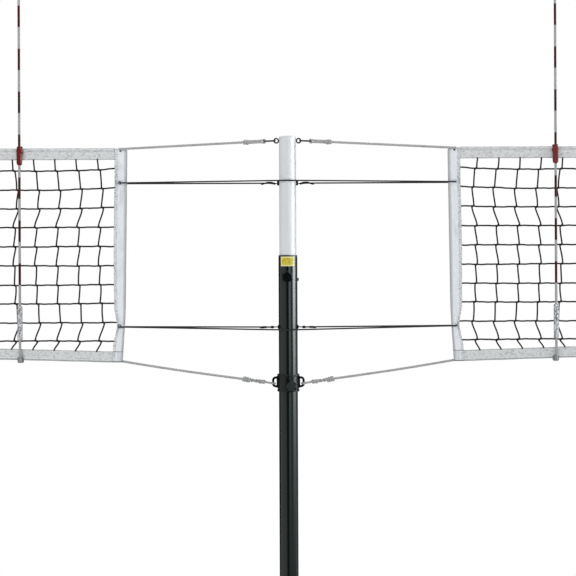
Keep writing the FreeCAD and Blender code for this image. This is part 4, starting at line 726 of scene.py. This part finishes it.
for side, name in SIDES:
    knots = knot_piece("bottom_rope_knots_" + name, [
        (bar_at(SMALL_KNOT[0]), bar_at(SMALL_KNOT[1]), 0.022),
        (bar_at(BIG_KNOT[0]), bar_at(BIG_KNOT[1]), 0.027)], twisted, side)
    corner_rope("bottom", side, name, bottom_bight, bottom_route, "bottom_knots")

# Side bands: white padded vinyl sleeves over the net's end rods, sewn along the net side, drawn in
# where the tension cords pull at their eyelets, with a square patch at the foot.
BAND_TOP = 2.433
BAND_FOOT = 1.426
PINCHES = (1.596, 2.271)
EYELETS = ((0.7925, PINCHES[0]), (0.7893, PINCHES[1]))
# By height: the band's edge towards the post, its width and half its thickness.
BAND_EDGES = (
    (BAND_FOOT, 0.779), (1.506, 0.774), (PINCHES[0], 0.768), (1.686, 0.7635), (1.9335, 0.760),
    (2.181, 0.7565), (PINCHES[1], 0.7553), (BAND_TOP, 0.753))
BAND_WIDTHS = (
    (BAND_FOOT, 0.047), (1.506, 0.0505), (PINCHES[0], 0.0365), (1.686, 0.0555), (1.9335, 0.060),
    (2.181, 0.0605), (PINCHES[1], 0.0587), (BAND_TOP, 0.061))
BAND_HALVES = (
    (BAND_FOOT, 0.0104), (1.506, 0.0106), (PINCHES[0], 0.0080), (1.686, 0.0106), (1.9335, 0.0106),
    (2.181, 0.0106), (PINCHES[1], 0.0080), (2.36, 0.0086), (BAND_TOP, 0.0080))
PATCH_TOP = 1.478
SEAM_SHARE = 0.74
# Where the painted shade under the corner stopper knot lies on the band: across and up.
KNOT_SHADE_SPOT = (0.785, 2.4205)


def at_height(table, z):
    heights, values = zip(*table)
    return np.interp(z, heights, values)


def net_edge(z):
    """Where the band ends and the net begins, at a height."""
    return at_height(BAND_EDGES, z) + at_height(BAND_WIDTHS, z)


# The vinyl's colour holds painted shade: a darker strip along the post side and a dark spot under the corner
# stopper knot.
vinyl = Finish("white_vinyl")
across = vinyl.axis("X", vinyl.lay())
cloth_back = vinyl.noise(0.0011, 2.0)
folds = vinyl.noise(0.020, 5.0, (1, 1, 2.2))
grime = vinyl.noise(0.05, 6.0, (1, 1, 2.0))
height = vinyl.axis("Z")
# Painted shade: the post side, where the padded sleeve rounds away over its rod, is darkened in the colour.
painted_post_side_shade = vinyl.step(across, 0.235, 0.205)
net_side = vinyl.step(across, 0.66, 0.80)
patch = vinyl.step(height, PATCH_TOP, PATCH_TOP - 0.002) * vinyl.step(across, 0.60, 0.56)
seam = vinyl.step(height, PATCH_TOP - 0.004, PATCH_TOP - 0.002)
seam = seam * vinyl.step(height, PATCH_TOP + 0.001, PATCH_TOP)
hem = vinyl.step(height, BAND_FOOT + 0.0070, BAND_FOOT + 0.0050)
pulled = 0.0
for ex, ez in EYELETS:
    pulled = vinyl.step(vinyl.reckon("ABSOLUTE", height - ez), 0.09, 0.01) + pulled
speck = vinyl.step(vinyl.noise(0.0060, 5.0, (1, 1, 0.7)) + pulled * 0.07 + patch * 0.03, 0.52, 0.62)
colour = vinyl.mix(folds, (0.68, 0.70, 0.73, 1), (0.80, 0.82, 0.85, 1))
# Colour of the painted shade on the post side, darkest at the band's edge.
painted_shade_strip = vinyl.mix(vinyl.step(across, 0.20, 0.0), (0.56, 0.57, 0.59, 1), (0.36, 0.36, 0.38, 1))
# Painted shade: a dark spot under the corner stopper knot, where the rope leaves the band's corner.
aside = vinyl.reckon("ABSOLUTE", vinyl.axis("X")) - KNOT_SHADE_SPOT[0]
above = height - KNOT_SHADE_SPOT[1]
knot_shade = vinyl.step(aside * aside + above * above, 0.0060 ** 2, 0.0045 ** 2)
for share, layer in (
        (painted_post_side_shade, painted_shade_strip), (net_side * 0.45, (0.50, 0.52, 0.52, 1)), (patch * 0.45, (0.47, 0.50, 0.52, 1)),
        (vinyl.step(grime, 0.50, 0.72) * 0.35, (0.44, 0.44, 0.43, 1)),
        (speck * (0.14 + net_side * 0.70), (0.24, 0.25, 0.25, 1)),
        (vinyl.reckon("MINIMUM", seam * 0.8 + hem * 0.85, 1.0), (0.12, 0.13, 0.14, 1)), (knot_shade, grey(0.03))):
    colour = vinyl.mix(share, colour, layer)
vinyl.surface(colour, 0.46 + folds * 0.16, cloth_back * 0.12 + folds, 0.0016, Specular_IOR_Level=0.12)


def bump(value, middle, spread):
    """1 at the middle, falling smoothly to nothing over a few times the spread."""
    return np.exp(-((value - middle) / spread) ** 2)


def band_skin(edges, widths, halves, eyelets, foot, top):
    """A padded sleeve: thick over its rod, thin at its sewn side, and on a band with eyelets creased
    round them, rounded at its corner and patched at its foot."""
    heights = np.concatenate([
        [foot, foot + 0.0015, foot + 0.004], np.arange(foot + 0.008, top - 0.006, 0.004),
        [top - 0.004, top - 0.0015, top]])
    shares = (1 - np.cos(np.linspace(0, math.pi, 25))) / 2
    shares[-7:] = np.linspace(shares[-7], 1, 7)
    rows = []
    spread = np.linspace(-0.014, 0.014, 9)
    for z in heights:
        edge = at_height(edges, z + spread).mean()
        width = at_height(widths, z + spread).mean()
        half = at_height(halves, z + spread).mean()
        corner = max(0.0, 1 - (top - z) / 0.016) ** 2 * 0.013 if eyelets else 0.0
        edge, width = edge + corner, width - corner
        ends = np.clip(np.array([z - foot, top - z]) / 0.005, 0, 1)
        half = half * math.sqrt(max(0.02, 1 - (1 - ends.min()) ** 2))
        swell = np.sqrt(np.clip(1 - ((shares - 0.30) / 0.30) ** 2, 0, None))
        swell = swell * (shares < 0.30) + (shares >= 0.30)
        thin = 1 - 0.62 * (1 / (1 + np.exp(-(shares - 0.60) / 0.055)))
        tip = np.sqrt(np.clip((1 - shares) / 0.05, 0, 1))
        body = half * swell * thin * tip
        body = body - 0.0011 * bump(shares, SEAM_SHARE, 0.018) * (body > 0.002)
        x = edge + width * shares
        pucker = 0.00035 * np.sin(z * math.tau / 0.0135 + np.sin(z * 31) * 2) * bump(shares, 0.70, 0.10)
        roll = 0.0005 * np.sin(z * 47 + shares * 5) + 0.0004 * np.sin(z * 83 + 1.3 + shares * 9)
        crease = np.zeros_like(x)
        for ex, ez in eyelets:
            away = np.hypot(x - ex, z - ez)
            angle = np.arctan2(z - ez, x - ex)
            crease += 0.0013 * np.cos(angle * 6 + 0.8 * np.sin(angle * 2)) * bump(away, 0.024, 0.026)
        if eyelets:
            sewn = float(np.clip((PATCH_TOP - z) / 0.0012 + 0.5, 0, 1))
            body = body + 0.0005 * sewn - 0.0008 * bump(z, PATCH_TOP, 0.0016)
            diagonal = (x - (edge + 0.006)) - (z - PATCH_TOP - 0.004) * 0.8
            crease -= 0.0012 * bump(diagonal, 0, 0.0035) * bump(z, 1.515, 0.03)
        active = np.clip(body / 0.004, 0, 1)
        front = np.stack([x, -(body + (roll + pucker + crease) * active), np.full_like(x, z)], axis=1)
        back = np.stack([x, body + (pucker - roll + crease * 0.8) * active, np.full_like(x, z)], axis=1)
        rows.append(np.concatenate([front, back[-2:0:-1]]))
    rows = np.array(rows)
    around = np.concatenate([shares, shares[-2:0:-1], [0.0]])
    skin = Skin()
    skin.grid(rows, around, heights, closed=True, capped=True)
    return skin


def band_pieces(skin, shown, replaced):
    for side, name in SIDES:
        band = skin.piece(shown + name, vinyl, "band_vinyl", side=side, replaced=[replaced + name])


skin = band_skin(BAND_EDGES, BAND_WIDTHS, BAND_HALVES, EYELETS, BAND_FOOT, BAND_TOP)
band_pieces(skin, "padded_band_", "side_band_")

# Far bands: plain sleeves of the same vinyl at the nets' other ends.
FAR_EDGE = 1.400
FAR_WIDTH = 0.060
FAR_FOOT = 1.440
far_sides = ((FAR_FOOT, FAR_EDGE + FAR_WIDTH), (BAND_TOP, FAR_EDGE + FAR_WIDTH))
far_widths = ((FAR_FOOT, -FAR_WIDTH), (BAND_TOP, -FAR_WIDTH))
far_halves = ((FAR_FOOT, 0.0104), (BAND_TOP, 0.0104))
skin = band_skin(far_sides, far_widths, far_halves, (), FAR_FOOT, BAND_TOP)
skin.turn_over()
band_pieces(skin, "padded_far_band_", "far_band_")

# Rods and eyelets of the bands: turned dowels and nickel-plated eyelets.
wood = mottled("dowel_wood", (0.004, 4.0, (1, 1, 30)), (0.36, 0.22, 0.11, 1), (0.55, 0.38, 0.21, 1), 0.6, 0.0,
               0.0002)
dress(wood, "band_rods")
dress(mottled("nickel_plate", (0.002, 3.0), grey(0.5), grey(0.66), 0.28, 0.2, 0.00003, Metallic=1.0),
      "band_grommets")

# Tapes: coated white tape folded over the headline cable above and over the foot rope below, and sewn
# through in two rows.
TAPE_GAP = 0.0004
TOP_TALL = 0.0555
TAPE_TOP = BAND_TOP + 0.002
CABLE_DROP = 0.012
CABLE_R = 0.0047
LOW_TALL = 0.052
LOW_ROPE_R = 0.0038
LOW_TILT = math.radians(1.68)
TOP_START = net_edge(TAPE_TOP - TOP_TALL) + TAPE_GAP
LOW_START = net_edge(BAND_FOOT + LOW_TALL) + LOW_TALL * math.sin(LOW_TILT) + TAPE_GAP
TAPE_END = FAR_EDGE - TAPE_GAP
CLOTH = 0.0007
STITCH = 0.0044


def tape_finish(name, rope_at, dark_rope, dark_edge, stitch_rows):
    """Woven coated tape, darker over the rope in its hem and along an edge, with rows of stitches."""
    tape = Finish(name)
    across = tape.axis("X", tape.lay())
    along = tape.axis("Y", tape.lay())
    weave = tape.cells(tape.scaled(tape.lay(), (900, 900, 0)), 0.25)
    speckle = tape.noise(0.0080, 5.0, (1.8, 1, 1))
    stain = tape.noise(0.06, 5.0)
    colour = tape.mix(stain, (0.54, 0.55, 0.56, 1), (0.66, 0.67, 0.67, 1))
    colour = tape.mix(tape.step(speckle, 0.50, 0.62) * 0.55, colour, (0.30, 0.31, 0.31, 1))
    off = tape.reckon("ABSOLUTE", across - dark_edge)
    colour = tape.mix(tape.step(off, 0.0040, 0.0015) * 0.5, colour, (0.25, 0.26, 0.27, 1))
    off = tape.reckon("ABSOLUTE", across - rope_at)
    patchy = 0.45 + tape.noise(0.12, 3.0) * 0.8
    colour = tape.mix(tape.step(off, 0.0042, 0.0018) * patchy * dark_rope, colour, (0.25, 0.27, 0.28, 1))
    height = weave * 0.25 + stain
    for row in stitch_rows:
        off = tape.reckon("ABSOLUTE", across - row)
        beat = tape.reckon("FRACT", along / STITCH)
        thread = tape.step(off, 0.0010, 0.0004) * tape.step(beat, 0.22, 0.34) * tape.step(beat, 0.98, 0.86)
        colour = tape.mix(thread * 0.8, colour, (0.83, 0.83, 0.82, 1))
        height = height + thread * 0.5 - tape.step(off, 0.0030, 0.0002) * 0.7
    return tape.surface(colour, 0.62 + speckle * 0.2, height, 0.0006, Sheen_Weight=0.1)


def tape_skin(length, tall, rope_at, rope_r, to_world, rng, fold=None):
    """Folded tape: a front and a back layer that part over the rope, each a thin closed cloth."""
    near_rope = np.linspace(rope_at - 0.009, rope_at + 0.009, 13)
    levels = np.unique(np.concatenate([np.linspace(0, tall, 15), near_rope]))
    levels = levels[(levels >= 0) & (levels <= tall)]
    hem_at_top = rope_at > tall / 2
    up = 1 if hem_at_top else -1
    runs_along = np.linspace(0, length, int(length / 0.006) + 1)
    phases = rng.uniform(0, math.tau, 8)
    rows = []
    for d in runs_along:
        half = 0.0011 + (rope_r - 0.0011) * np.exp(-((levels - rope_at) / (rope_r * 0.92)) ** 4)
        end = tall - levels if hem_at_top else levels
        closing = np.sqrt(np.clip(1 - (1 - np.clip(end / max(rope_r * 0.55, 0.002), 0, 1)) ** 2, 0.0, 1))
        half = half * closing
        sway = 0.0009 * math.sin(d * 23 + phases[0]) + 0.0006 * math.sin(d * 61 + phases[1])
        ripple = 0.0004 * np.sin(d * 190 + phases[2] + levels * 60) * bump(levels, tall / 2, 0.018)
        middle = sway * (1 - bump(levels, rope_at, 0.010)) + ripple
        if fold:
            middle = middle + fold(d, levels)
        lift = 0.0004 * math.sin(d * 37 + phases[3])
        inner_half = np.clip(half - CLOTH, 0.0001, None)
        inner_levels = np.where(end < CLOTH, levels - CLOTH * up, levels)
        sheets = ((middle - half, levels, up), (middle + half, levels, -up),
                  (middle + inner_half, inner_levels, up), (middle - inner_half, inner_levels, -up))
        rows.append([to_world(d, y, z + lift) for ys, zs, way in sheets for y, z in zip(ys[::way], zs[::way])])
    rows = np.array(rows)
    order = levels[::up]
    around = np.concatenate([order, order[::-1], order, order[::-1], order[:1]])
    skin = Skin()
    skin.grid(rows, around, runs_along, closed=True)
    count = rows.shape[1]
    for row, way in ((0, -1), (len(rows) - 1, 1)):
        for j in range(count // 2 - 1):
            corners = (j, j + 1, count - 2 - j, count - 1 - j)
            skin.faces.append(tuple(row * count + corner for corner in corners[::way]))
            skin.lays.append(((0.0, runs_along[row]),) * 4)
    if not hem_at_top:
        skin.turn_over()
    return skin


def top_place(d, y, z):
    return (TOP_START + d, y, TAPE_TOP - TOP_TALL + z)


def low_place(d, y, z):
    x = LOW_START + d * math.cos(LOW_TILT) - z * math.sin(LOW_TILT)
    return (x, y, BAND_FOOT + d * math.sin(LOW_TILT) + z * math.cos(LOW_TILT))


def corner_fold(d, levels):
    """The slanting fold where the foot rope pulls the tape beside the band."""
    off = (d - 0.006) - levels * 0.95
    return -0.0022 * bump(off, 0, 0.006) + 0.0012 * bump(off, 0.012, 0.008)


top_tape = tape_finish("white_tape_top", TOP_TALL - CABLE_DROP, 0.30, 0.002, (0.005, 0.030))
low_tape = tape_finish("white_tape_bottom", 0.0035, 0.95, LOW_TALL - 0.002, (0.010, 0.046))
top_length = TAPE_END - TOP_START
low_length = (TAPE_END - LOW_START) / math.cos(LOW_TILT) - 0.001
rng = np.random.default_rng(11)
top_skin = tape_skin(top_length, TOP_TALL, TOP_TALL - CABLE_DROP, CABLE_R, top_place, rng)
low_skin = tape_skin(low_length, LOW_TALL, LOW_ROPE_R, LOW_ROPE_R, low_place, rng, corner_fold)
for side, name in SIDES:
    for skin, shown, finish, replaced, length, tall in (
            (top_skin, "headline_tape_", top_tape, "top_tape_", top_length, TOP_TALL),
            (low_skin, "foot_tape_", low_tape, "bottom_tape_", low_length, LOW_TALL)):
        tape = skin.piece(shown + name, finish, "tape_white", side=side, replaced=[replaced + name])
        tall * 2

# Net: black twine knotted in squares of about 100 by 89 mm. At each knot the upright cord steps aside,
# and between knots it leans, as the knots were drawn.
TWINE_R = 0.0038
KNOT_HALF = 0.0042
FIRST_COLUMN = 0.892
COLUMN_PITCH = 0.100
COLUMNS = 5
ROWS = 10
FIRST_ROW = 2.328
ROW_PITCH = 0.089
# How far the upright cords have come towards the post above and below each row of knots.
STEPS = (
    (0.001, 0.010), (0.017, 0.024), (0.0155, 0.024), (0.000, 0.010), (0.002, 0.011), (0.002, 0.010),
    (0.006, 0.012), (0.008, 0.017), (0.020, 0.026), (0.002, 0.012))
TAPE_STEP = -0.011
# How far each row lies above an even spacing, and how much its cord rises where it meets the band.
ROW_SHIFTS = (0.0000, 0.0002, 0.0004, 0.0023, 0.0005, -0.0010, -0.0030, -0.0011, -0.0025, 0.0016)
ROW_RISES = (0.011, 0.010, 0.006, -0.001, -0.001, 0.0, 0.001, 0.001, 0.002, -0.004)
RISE_REACH = 0.24
twine = Finish("black_twine")
plies = twine.node("TexWave", {"bands_direction": "X"}, {
    "Vector": twine.turned(twine.lay(), 35), "Scale": 140.0, "Distortion": 1.5}, "Fac")
dust = twine.noise(0.03, 5.0)
colour = twine.mix(plies, grey(0.004), grey(0.018))
colour = twine.mix(twine.step(dust, 0.50, 0.80) * 0.35, colour, grey(0.045))
twine.surface(colour, 0.75, plies, 0.0004, Specular_IOR_Level=0.15)


def low_edge(x):
    """The top of the bottom tape at a place along the net."""
    return BAND_FOOT + (x - LOW_START) * math.tan(LOW_TILT) + LOW_TALL


def row_height(row, x):
    base = FIRST_ROW - row * ROW_PITCH + ROW_SHIFTS[row]
    return base + ROW_RISES[row] * np.clip(1 - (x - net_edge(base)) / RISE_REACH, 0, 1) ** 1.6


def add_knot(skin, top, low):
    """A slug of twine down the knot's front and a loop round it."""
    slug = np.array([top + (low - top) * share + np.array([0, y, 0]) for share, y in (
        (-0.25, 0.0), (0.1, -0.0012), (0.5, -0.0022), (0.9, -0.0012), (1.25, 0.0))])
    add_tube(skin, slug, np.array([0.0026, 0.0036, 0.0039, 0.0036, 0.0026]), 8)
    middle = (top + low) / 2
    turn = np.linspace(-0.3, math.tau + 0.3, 15)
    loop = np.stack([
        middle[0] + 0.0026 * np.sin(turn * 0.5) - 0.001, 0.0038 * np.cos(turn),
        middle[2] + 0.0040 * np.sin(turn)], axis=1)
    add_tube(skin, loop, 0.0021, 6)


def net_skin(rng):
    """The cords across, the upright cords and the knots where they meet."""
    skin = Skin()
    jitter = rng.normal(0, 0.0011, (ROWS, COLUMNS, 2))
    knots = np.zeros((ROWS, COLUMNS, 2, 3))
    for row in range(ROWS):
        arrive, leave = STEPS[row]
        for column in range(COLUMNS):
            x = FIRST_COLUMN + column * COLUMN_PITCH
            middle = x - (arrive + leave) / 2 + jitter[row, column, 0]
            z = row_height(row, middle) + jitter[row, column, 1]
            half = (leave - arrive) / 2 + 0.0006
            knots[row, column, 0] = (middle + half, 0, z + KNOT_HALF)
            knots[row, column, 1] = (middle - half, 0, z - KNOT_HALF)
    for row in range(ROWS):
        start = net_edge(FIRST_ROW - row * ROW_PITCH) - 0.002
        middles = knots[row].mean(axis=1)
        xs = np.concatenate([[start], middles[:, 0], [FAR_EDGE + 0.004]])
        zs = np.concatenate([[row_height(row, start)], middles[:, 2], [row_height(row, FAR_EDGE)]])
        x = np.linspace(xs[0], xs[-1], 90)
        z = np.interp(x, xs, zs)
        wave = 0.0007 * np.sin(x * 63 + row * 2.1) + 0.0004 * np.sin(x * 151 + row)
        y = 0.0006 * np.sin(x * 47 + row * 1.7)
        add_tube(skin, np.stack([x, y, z + wave], axis=1), TWINE_R, 7)
    for column in range(COLUMNS):
        x = FIRST_COLUMN + column * COLUMN_PITCH
        spots = [np.array([x + 0.003, 0, TAPE_TOP - TOP_TALL + 0.004])]
        for row in range(ROWS):
            spots += [knots[row, column, 0], knots[row, column, 1]]
        foot = x - TAPE_STEP
        spots.append(np.array([foot, 0, low_edge(foot) - 0.004]))
        for start, end in zip(spots[0::2], spots[1::2]):
            share = np.linspace(0, 1, 14)[:, None]
            bow = np.sin(share * math.pi) * rng.normal(0, 0.0012)
            lean = (share ** 2 * (3 - 2 * share)) * 0.45 + share * 0.55
            line = start + (end - start) * np.concatenate([lean, share * 0, share], axis=1)
            line[:, 0] += bow[:, 0]
            line[:, 1] = 0.0006 * np.sin(share[:, 0] * math.pi)
            add_tube(skin, line, TWINE_R, 7)
        for row in range(ROWS):
            add_knot(skin, *knots[row, column])
    return skin


skin = net_skin(np.random.default_rng(5))
for side, name in SIDES:
    skin.piece("knotted_net_" + name, twine, "net_twine", side=side, replaced=["net_" + name])

# Tension cords: thin dark braid. Each starts in a hook at the post, passes through a band's eyelet,
# crosses the post's front, and comes back through the other eyelet to the other hook.
CORD = 0.005
CORD_SHOWN = 0.0068
MAST_R = 0.03975
EYELET_OFF = 0.0134
# Each hook's line as places out from the post and heights, and its radii at places.
UPPER_HOOK = ((0.050, 2.2650), (0.057, 2.2640), (0.064, 2.2645), (0.074, 2.2675), (0.086, 2.2685),
              (0.098, 2.2680), (0.107, 2.2655), (0.116, 2.2620), (0.124, 2.2600))
UPPER_HOOK_RADII = ((0.050, 0.0020), (0.0560, 0.0024), (0.0585, 0.0048), (0.066, 0.0050), (0.076, 0.0056),
                    (0.095, 0.0052), (0.104, 0.0038), (0.110, 0.0029), (0.124, 0.0026))
LOWER_HOOK = ((0.048, 1.5904), (0.060, 1.5899), (0.078, 1.5893), (0.105, 1.5896), (0.120, 1.5888),
              (0.133, 1.5874))
LOWER_HOOK_RADII = ((0.048, 0.0024), (0.0660, 0.0026), (0.0685, 0.0052), (0.0745, 0.0066), (0.0805, 0.0052),
                    (0.083, 0.0034), (0.098, 0.0034), (0.103, 0.0050), (0.124, 0.0052), (0.133, 0.0036))
hooks = {"upper": [], "lower": []}


def tension_route(tube_r, end, hook_height, crossing_height, eyelet, back_rise, front_rise):
    """Half of the route, from the hook's socket to the middle of the post's front."""
    ex, ez = eyelet
    bend = tube_r + 0.0003 + CORD / 2
    before = (end, 0.0, hook_height)
    back = (ex, EYELET_OFF, ez + back_rise)
    front = (ex, -EYELET_OFF, ez + front_rise)
    crossing = (0.0, -bend, crossing_height)
    near = 6 * CORD

    def partway(start, stop, distance):
        way = np.array(stop) - np.array(start)
        return tuple(np.array(start) + way / np.linalg.norm(way) * distance)

    return [
        before, partway(back, before, near), partway(back, before, 0.008), back, front,
        partway(front, crossing, 0.008), partway(front, crossing, near), partway(crossing, front, near * 2),
        partway(crossing, front, near * 0.6), crossing]


hook_black = scuffed("hook_black", (0.003, 5.0), (0.66, 0.74), 0.4, grey(0.003), grey(0.03), 0.30, 0.12)
dress(hook_black, "upper_saddle", "lower_saddle")
for side, side_name in SIDES:
    for level, line, sizes in (
            ("upper", UPPER_HOOK, UPPER_HOOK_RADII), ("lower", LOWER_HOOK, LOWER_HOOK_RADII)):
        line = route([(x, 0, z) for x, z in line], 0.0012)
        radii = np.interp(line[:, 0], *zip(*sizes))
        first = level == "upper" and side == -1
        hooks[level].append(tube_piece(
            "%s_hook_%s" % (level, side_name), line, radii, 12, hook_black, "hook_black", side=side,
            replaced=["cord_hooks"] if first else []))

cord_finish = braid_finish("thin_dark_braid", (1100, 700), grey(0.030), grey(0.007), 0.7, 0.0002, 0.15)
for name, *settings in (
        ("upper", MAST_R, 0.10065, 2.2663, 2.2764, EYELETS[1], -0.0028, -0.0012),
        ("lower", LOWER_R, 0.12735, 1.5900, 1.577, EYELETS[0], -0.0023, -0.0030)):
    half = tension_route(*settings)
    line = route(half + mirrored(reversed(half[:-1]), -1), 0.004)
    cord = tube_piece(name + "_tension_cord", line, CORD_SHOWN / 2, 8, cord_finish, "tension_cord",
                      replaced=[name + "_cord"])

# Antennas: glass-fibre rods with red and white stripes of 100 mm in a clear coat, a red cap, a pale
# blue-grey sleeve near the foot and a pale clip under the bottom tape.
STRIPE = 0.1008
STRIPE_START = 1.692
ROD_COAT = 0.0009


def thicken(coat, *names):
    """Swell CAD pieces by the thickness of their coat."""
    for name in names:
        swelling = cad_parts[name].modifiers.new("coat", "DISPLACE")
        swelling.mid_level = 0.0
        swelling.strength = coat


stripes = Finish("antenna_stripes")
height = stripes.axis("Z")
beat = stripes.reckon("FRACT", (height - STRIPE_START) / (2 * STRIPE))
red = stripes.step(beat, 0.499, 0.501) * stripes.step(height, STRIPE_START - 0.002, STRIPE_START)
fibre = stripes.noise(0.0012, 3.0, (1, 1, 40))
faded = stripes.noise(0.04, 4.0)
white_part = stripes.mix(fibre, (0.27, 0.27, 0.27, 1), (0.38, 0.38, 0.37, 1))
red_part = stripes.mix(faded, (0.028, 0.0030, 0.0028, 1), (0.060, 0.0060, 0.0050, 1))
colour = stripes.mix(red, white_part, red_part)
stripes.surface(colour, 0.36 + fibre * 0.15, fibre, 0.00003, Specular_IOR_Level=0.12)
dress(stripes, "antenna_left", "antenna_right")
thicken(ROD_COAT, "antenna_left", "antenna_right")
red_plastic = Finish("dark_red_moulding")
flow = red_plastic.noise(0.012, 4.0)
scuffs = red_plastic.step(red_plastic.noise(0.003, 5.0), 0.62, 0.72)
colour = red_plastic.mix(flow, (0.085, 0.0060, 0.0035, 1), (0.17, 0.010, 0.006, 1))
colour = red_plastic.mix(scuffs * 0.25, colour, (0.20, 0.035, 0.025, 1))
red_plastic.surface(colour, 0.34 + scuffs * 0.25, red_plastic.noise(0.0012), 0.00004, Specular_IOR_Level=0.25)
dress(red_plastic, "antenna_tips", "antenna_clamp_left", "antenna_clamp_right", "clamp_jaw_left",
      "clamp_jaw_right")
sleeve_plastic = Finish("pale_sleeve")
milky = sleeve_plastic.noise(0.006, 5.0, (1, 1, 1.6))
milk = sleeve_plastic.step(milky, 0.40, 0.62)
colour = sleeve_plastic.mix(milk, (0.15, 0.155, 0.165, 1), (0.62, 0.63, 0.65, 1))
sleeve_plastic.surface(colour, 0.35 + milky * 0.15, milky, 0.0001)
dress(sleeve_plastic, "antenna_sleeves")
clip_plastic = mottled("grey_clip", (0.006, 4.0), grey(0.14), grey(0.30), 0.5, 0.0, 0.00008, (0.001,))
dress(clip_plastic, "antenna_hooks")

# Net collar: a black moulded sleeve with beaded ends, its soft liner, and two black coated rings.
RING_COAT = 0.0007
collar_black = scuffed("collar_black", (0.010, 6.0), (0.56, 0.72), 0.5, (0.0035, 0.0045, 0.0045, 1),
                       (0.014, 0.017, 0.017, 1), 0.20, 0.35, (0.0012, 3.0), 0.00006)
dress(collar_black, "collar_body")
rubber = mottled("liner_rubber", (0.004,), grey(0.012), grey(0.024), 0.85, 0.0, 0.0001, (0.001,))
dress(rubber, "collar_liner")
ring_black = scuffed("ring_black", (0.003, 5.0), (0.67, 0.75), 0.3, grey(0.003), grey(0.05), 0.24, 0.1)
dress(ring_black, "d_ring_left", "d_ring_right")
thicken(RING_COAT, "d_ring_left", "d_ring_right")

# Rope eyes at the far ends of the nets: each rope leaves the band, goes round and is whipped to itself.
FAR_HEIGHTS = (("bottom", 1.45425), ("top", 2.41875))
EYE_R = 0.015
FAR_EYE_X = 1.5353
FAR_ROPE_START = 1.4606
WRAPS = 9
WRAP_START = 1.4955
WRAP_LENGTH = 0.019
whipping = mottled("whipping_twine", (0.0015, 3.0, (1, 8, 8)), grey(0.05), grey(0.12), 0.8, 0.0, 0.0004,
                   (0.0012, 2.0, (1, 8, 8)))
throat = FAR_EYE_X - EYE_R * 1.25
bends = [(FAR_EYE_X + EYE_R * 1.04 * math.cos(turn), EYE_R * 1.04 * math.sin(turn))
         for turn in map(math.radians, range(150, -151, -30))]
wraps = np.linspace(0, WRAPS * math.tau, WRAPS * 14)
for side, side_name in SIDES:
    for level, z in FAR_HEIGHTS:
        name = level + "_" + side_name
        far_route = [(x, 0, z + rise) for x, rise in (
            (FAR_ROPE_START, 0), (1.478, 0.0005), (1.497, 0.001), (throat, 0.0035), *bends,
            (throat, -0.006), (1.500, -0.0068), (1.487, -0.0070))]
        line = route(mirrored(far_route, side), ROPE_STEP)
        first = level == "bottom" and side == -1
        rope = rope_piece("far_eye_" + name, line, ROPE, ["far_eyes"] if first else [])
        coil = np.stack([
            WRAP_START + WRAP_LENGTH * wraps / wraps[-1], 0.0060 * np.cos(wraps),
            z - 0.0030 + 0.0092 * np.sin(wraps)], axis=1)
        wrap = tube_piece("whipping_" + name, coil, 0.00105, 6, whipping, "sling_cord", side=side)
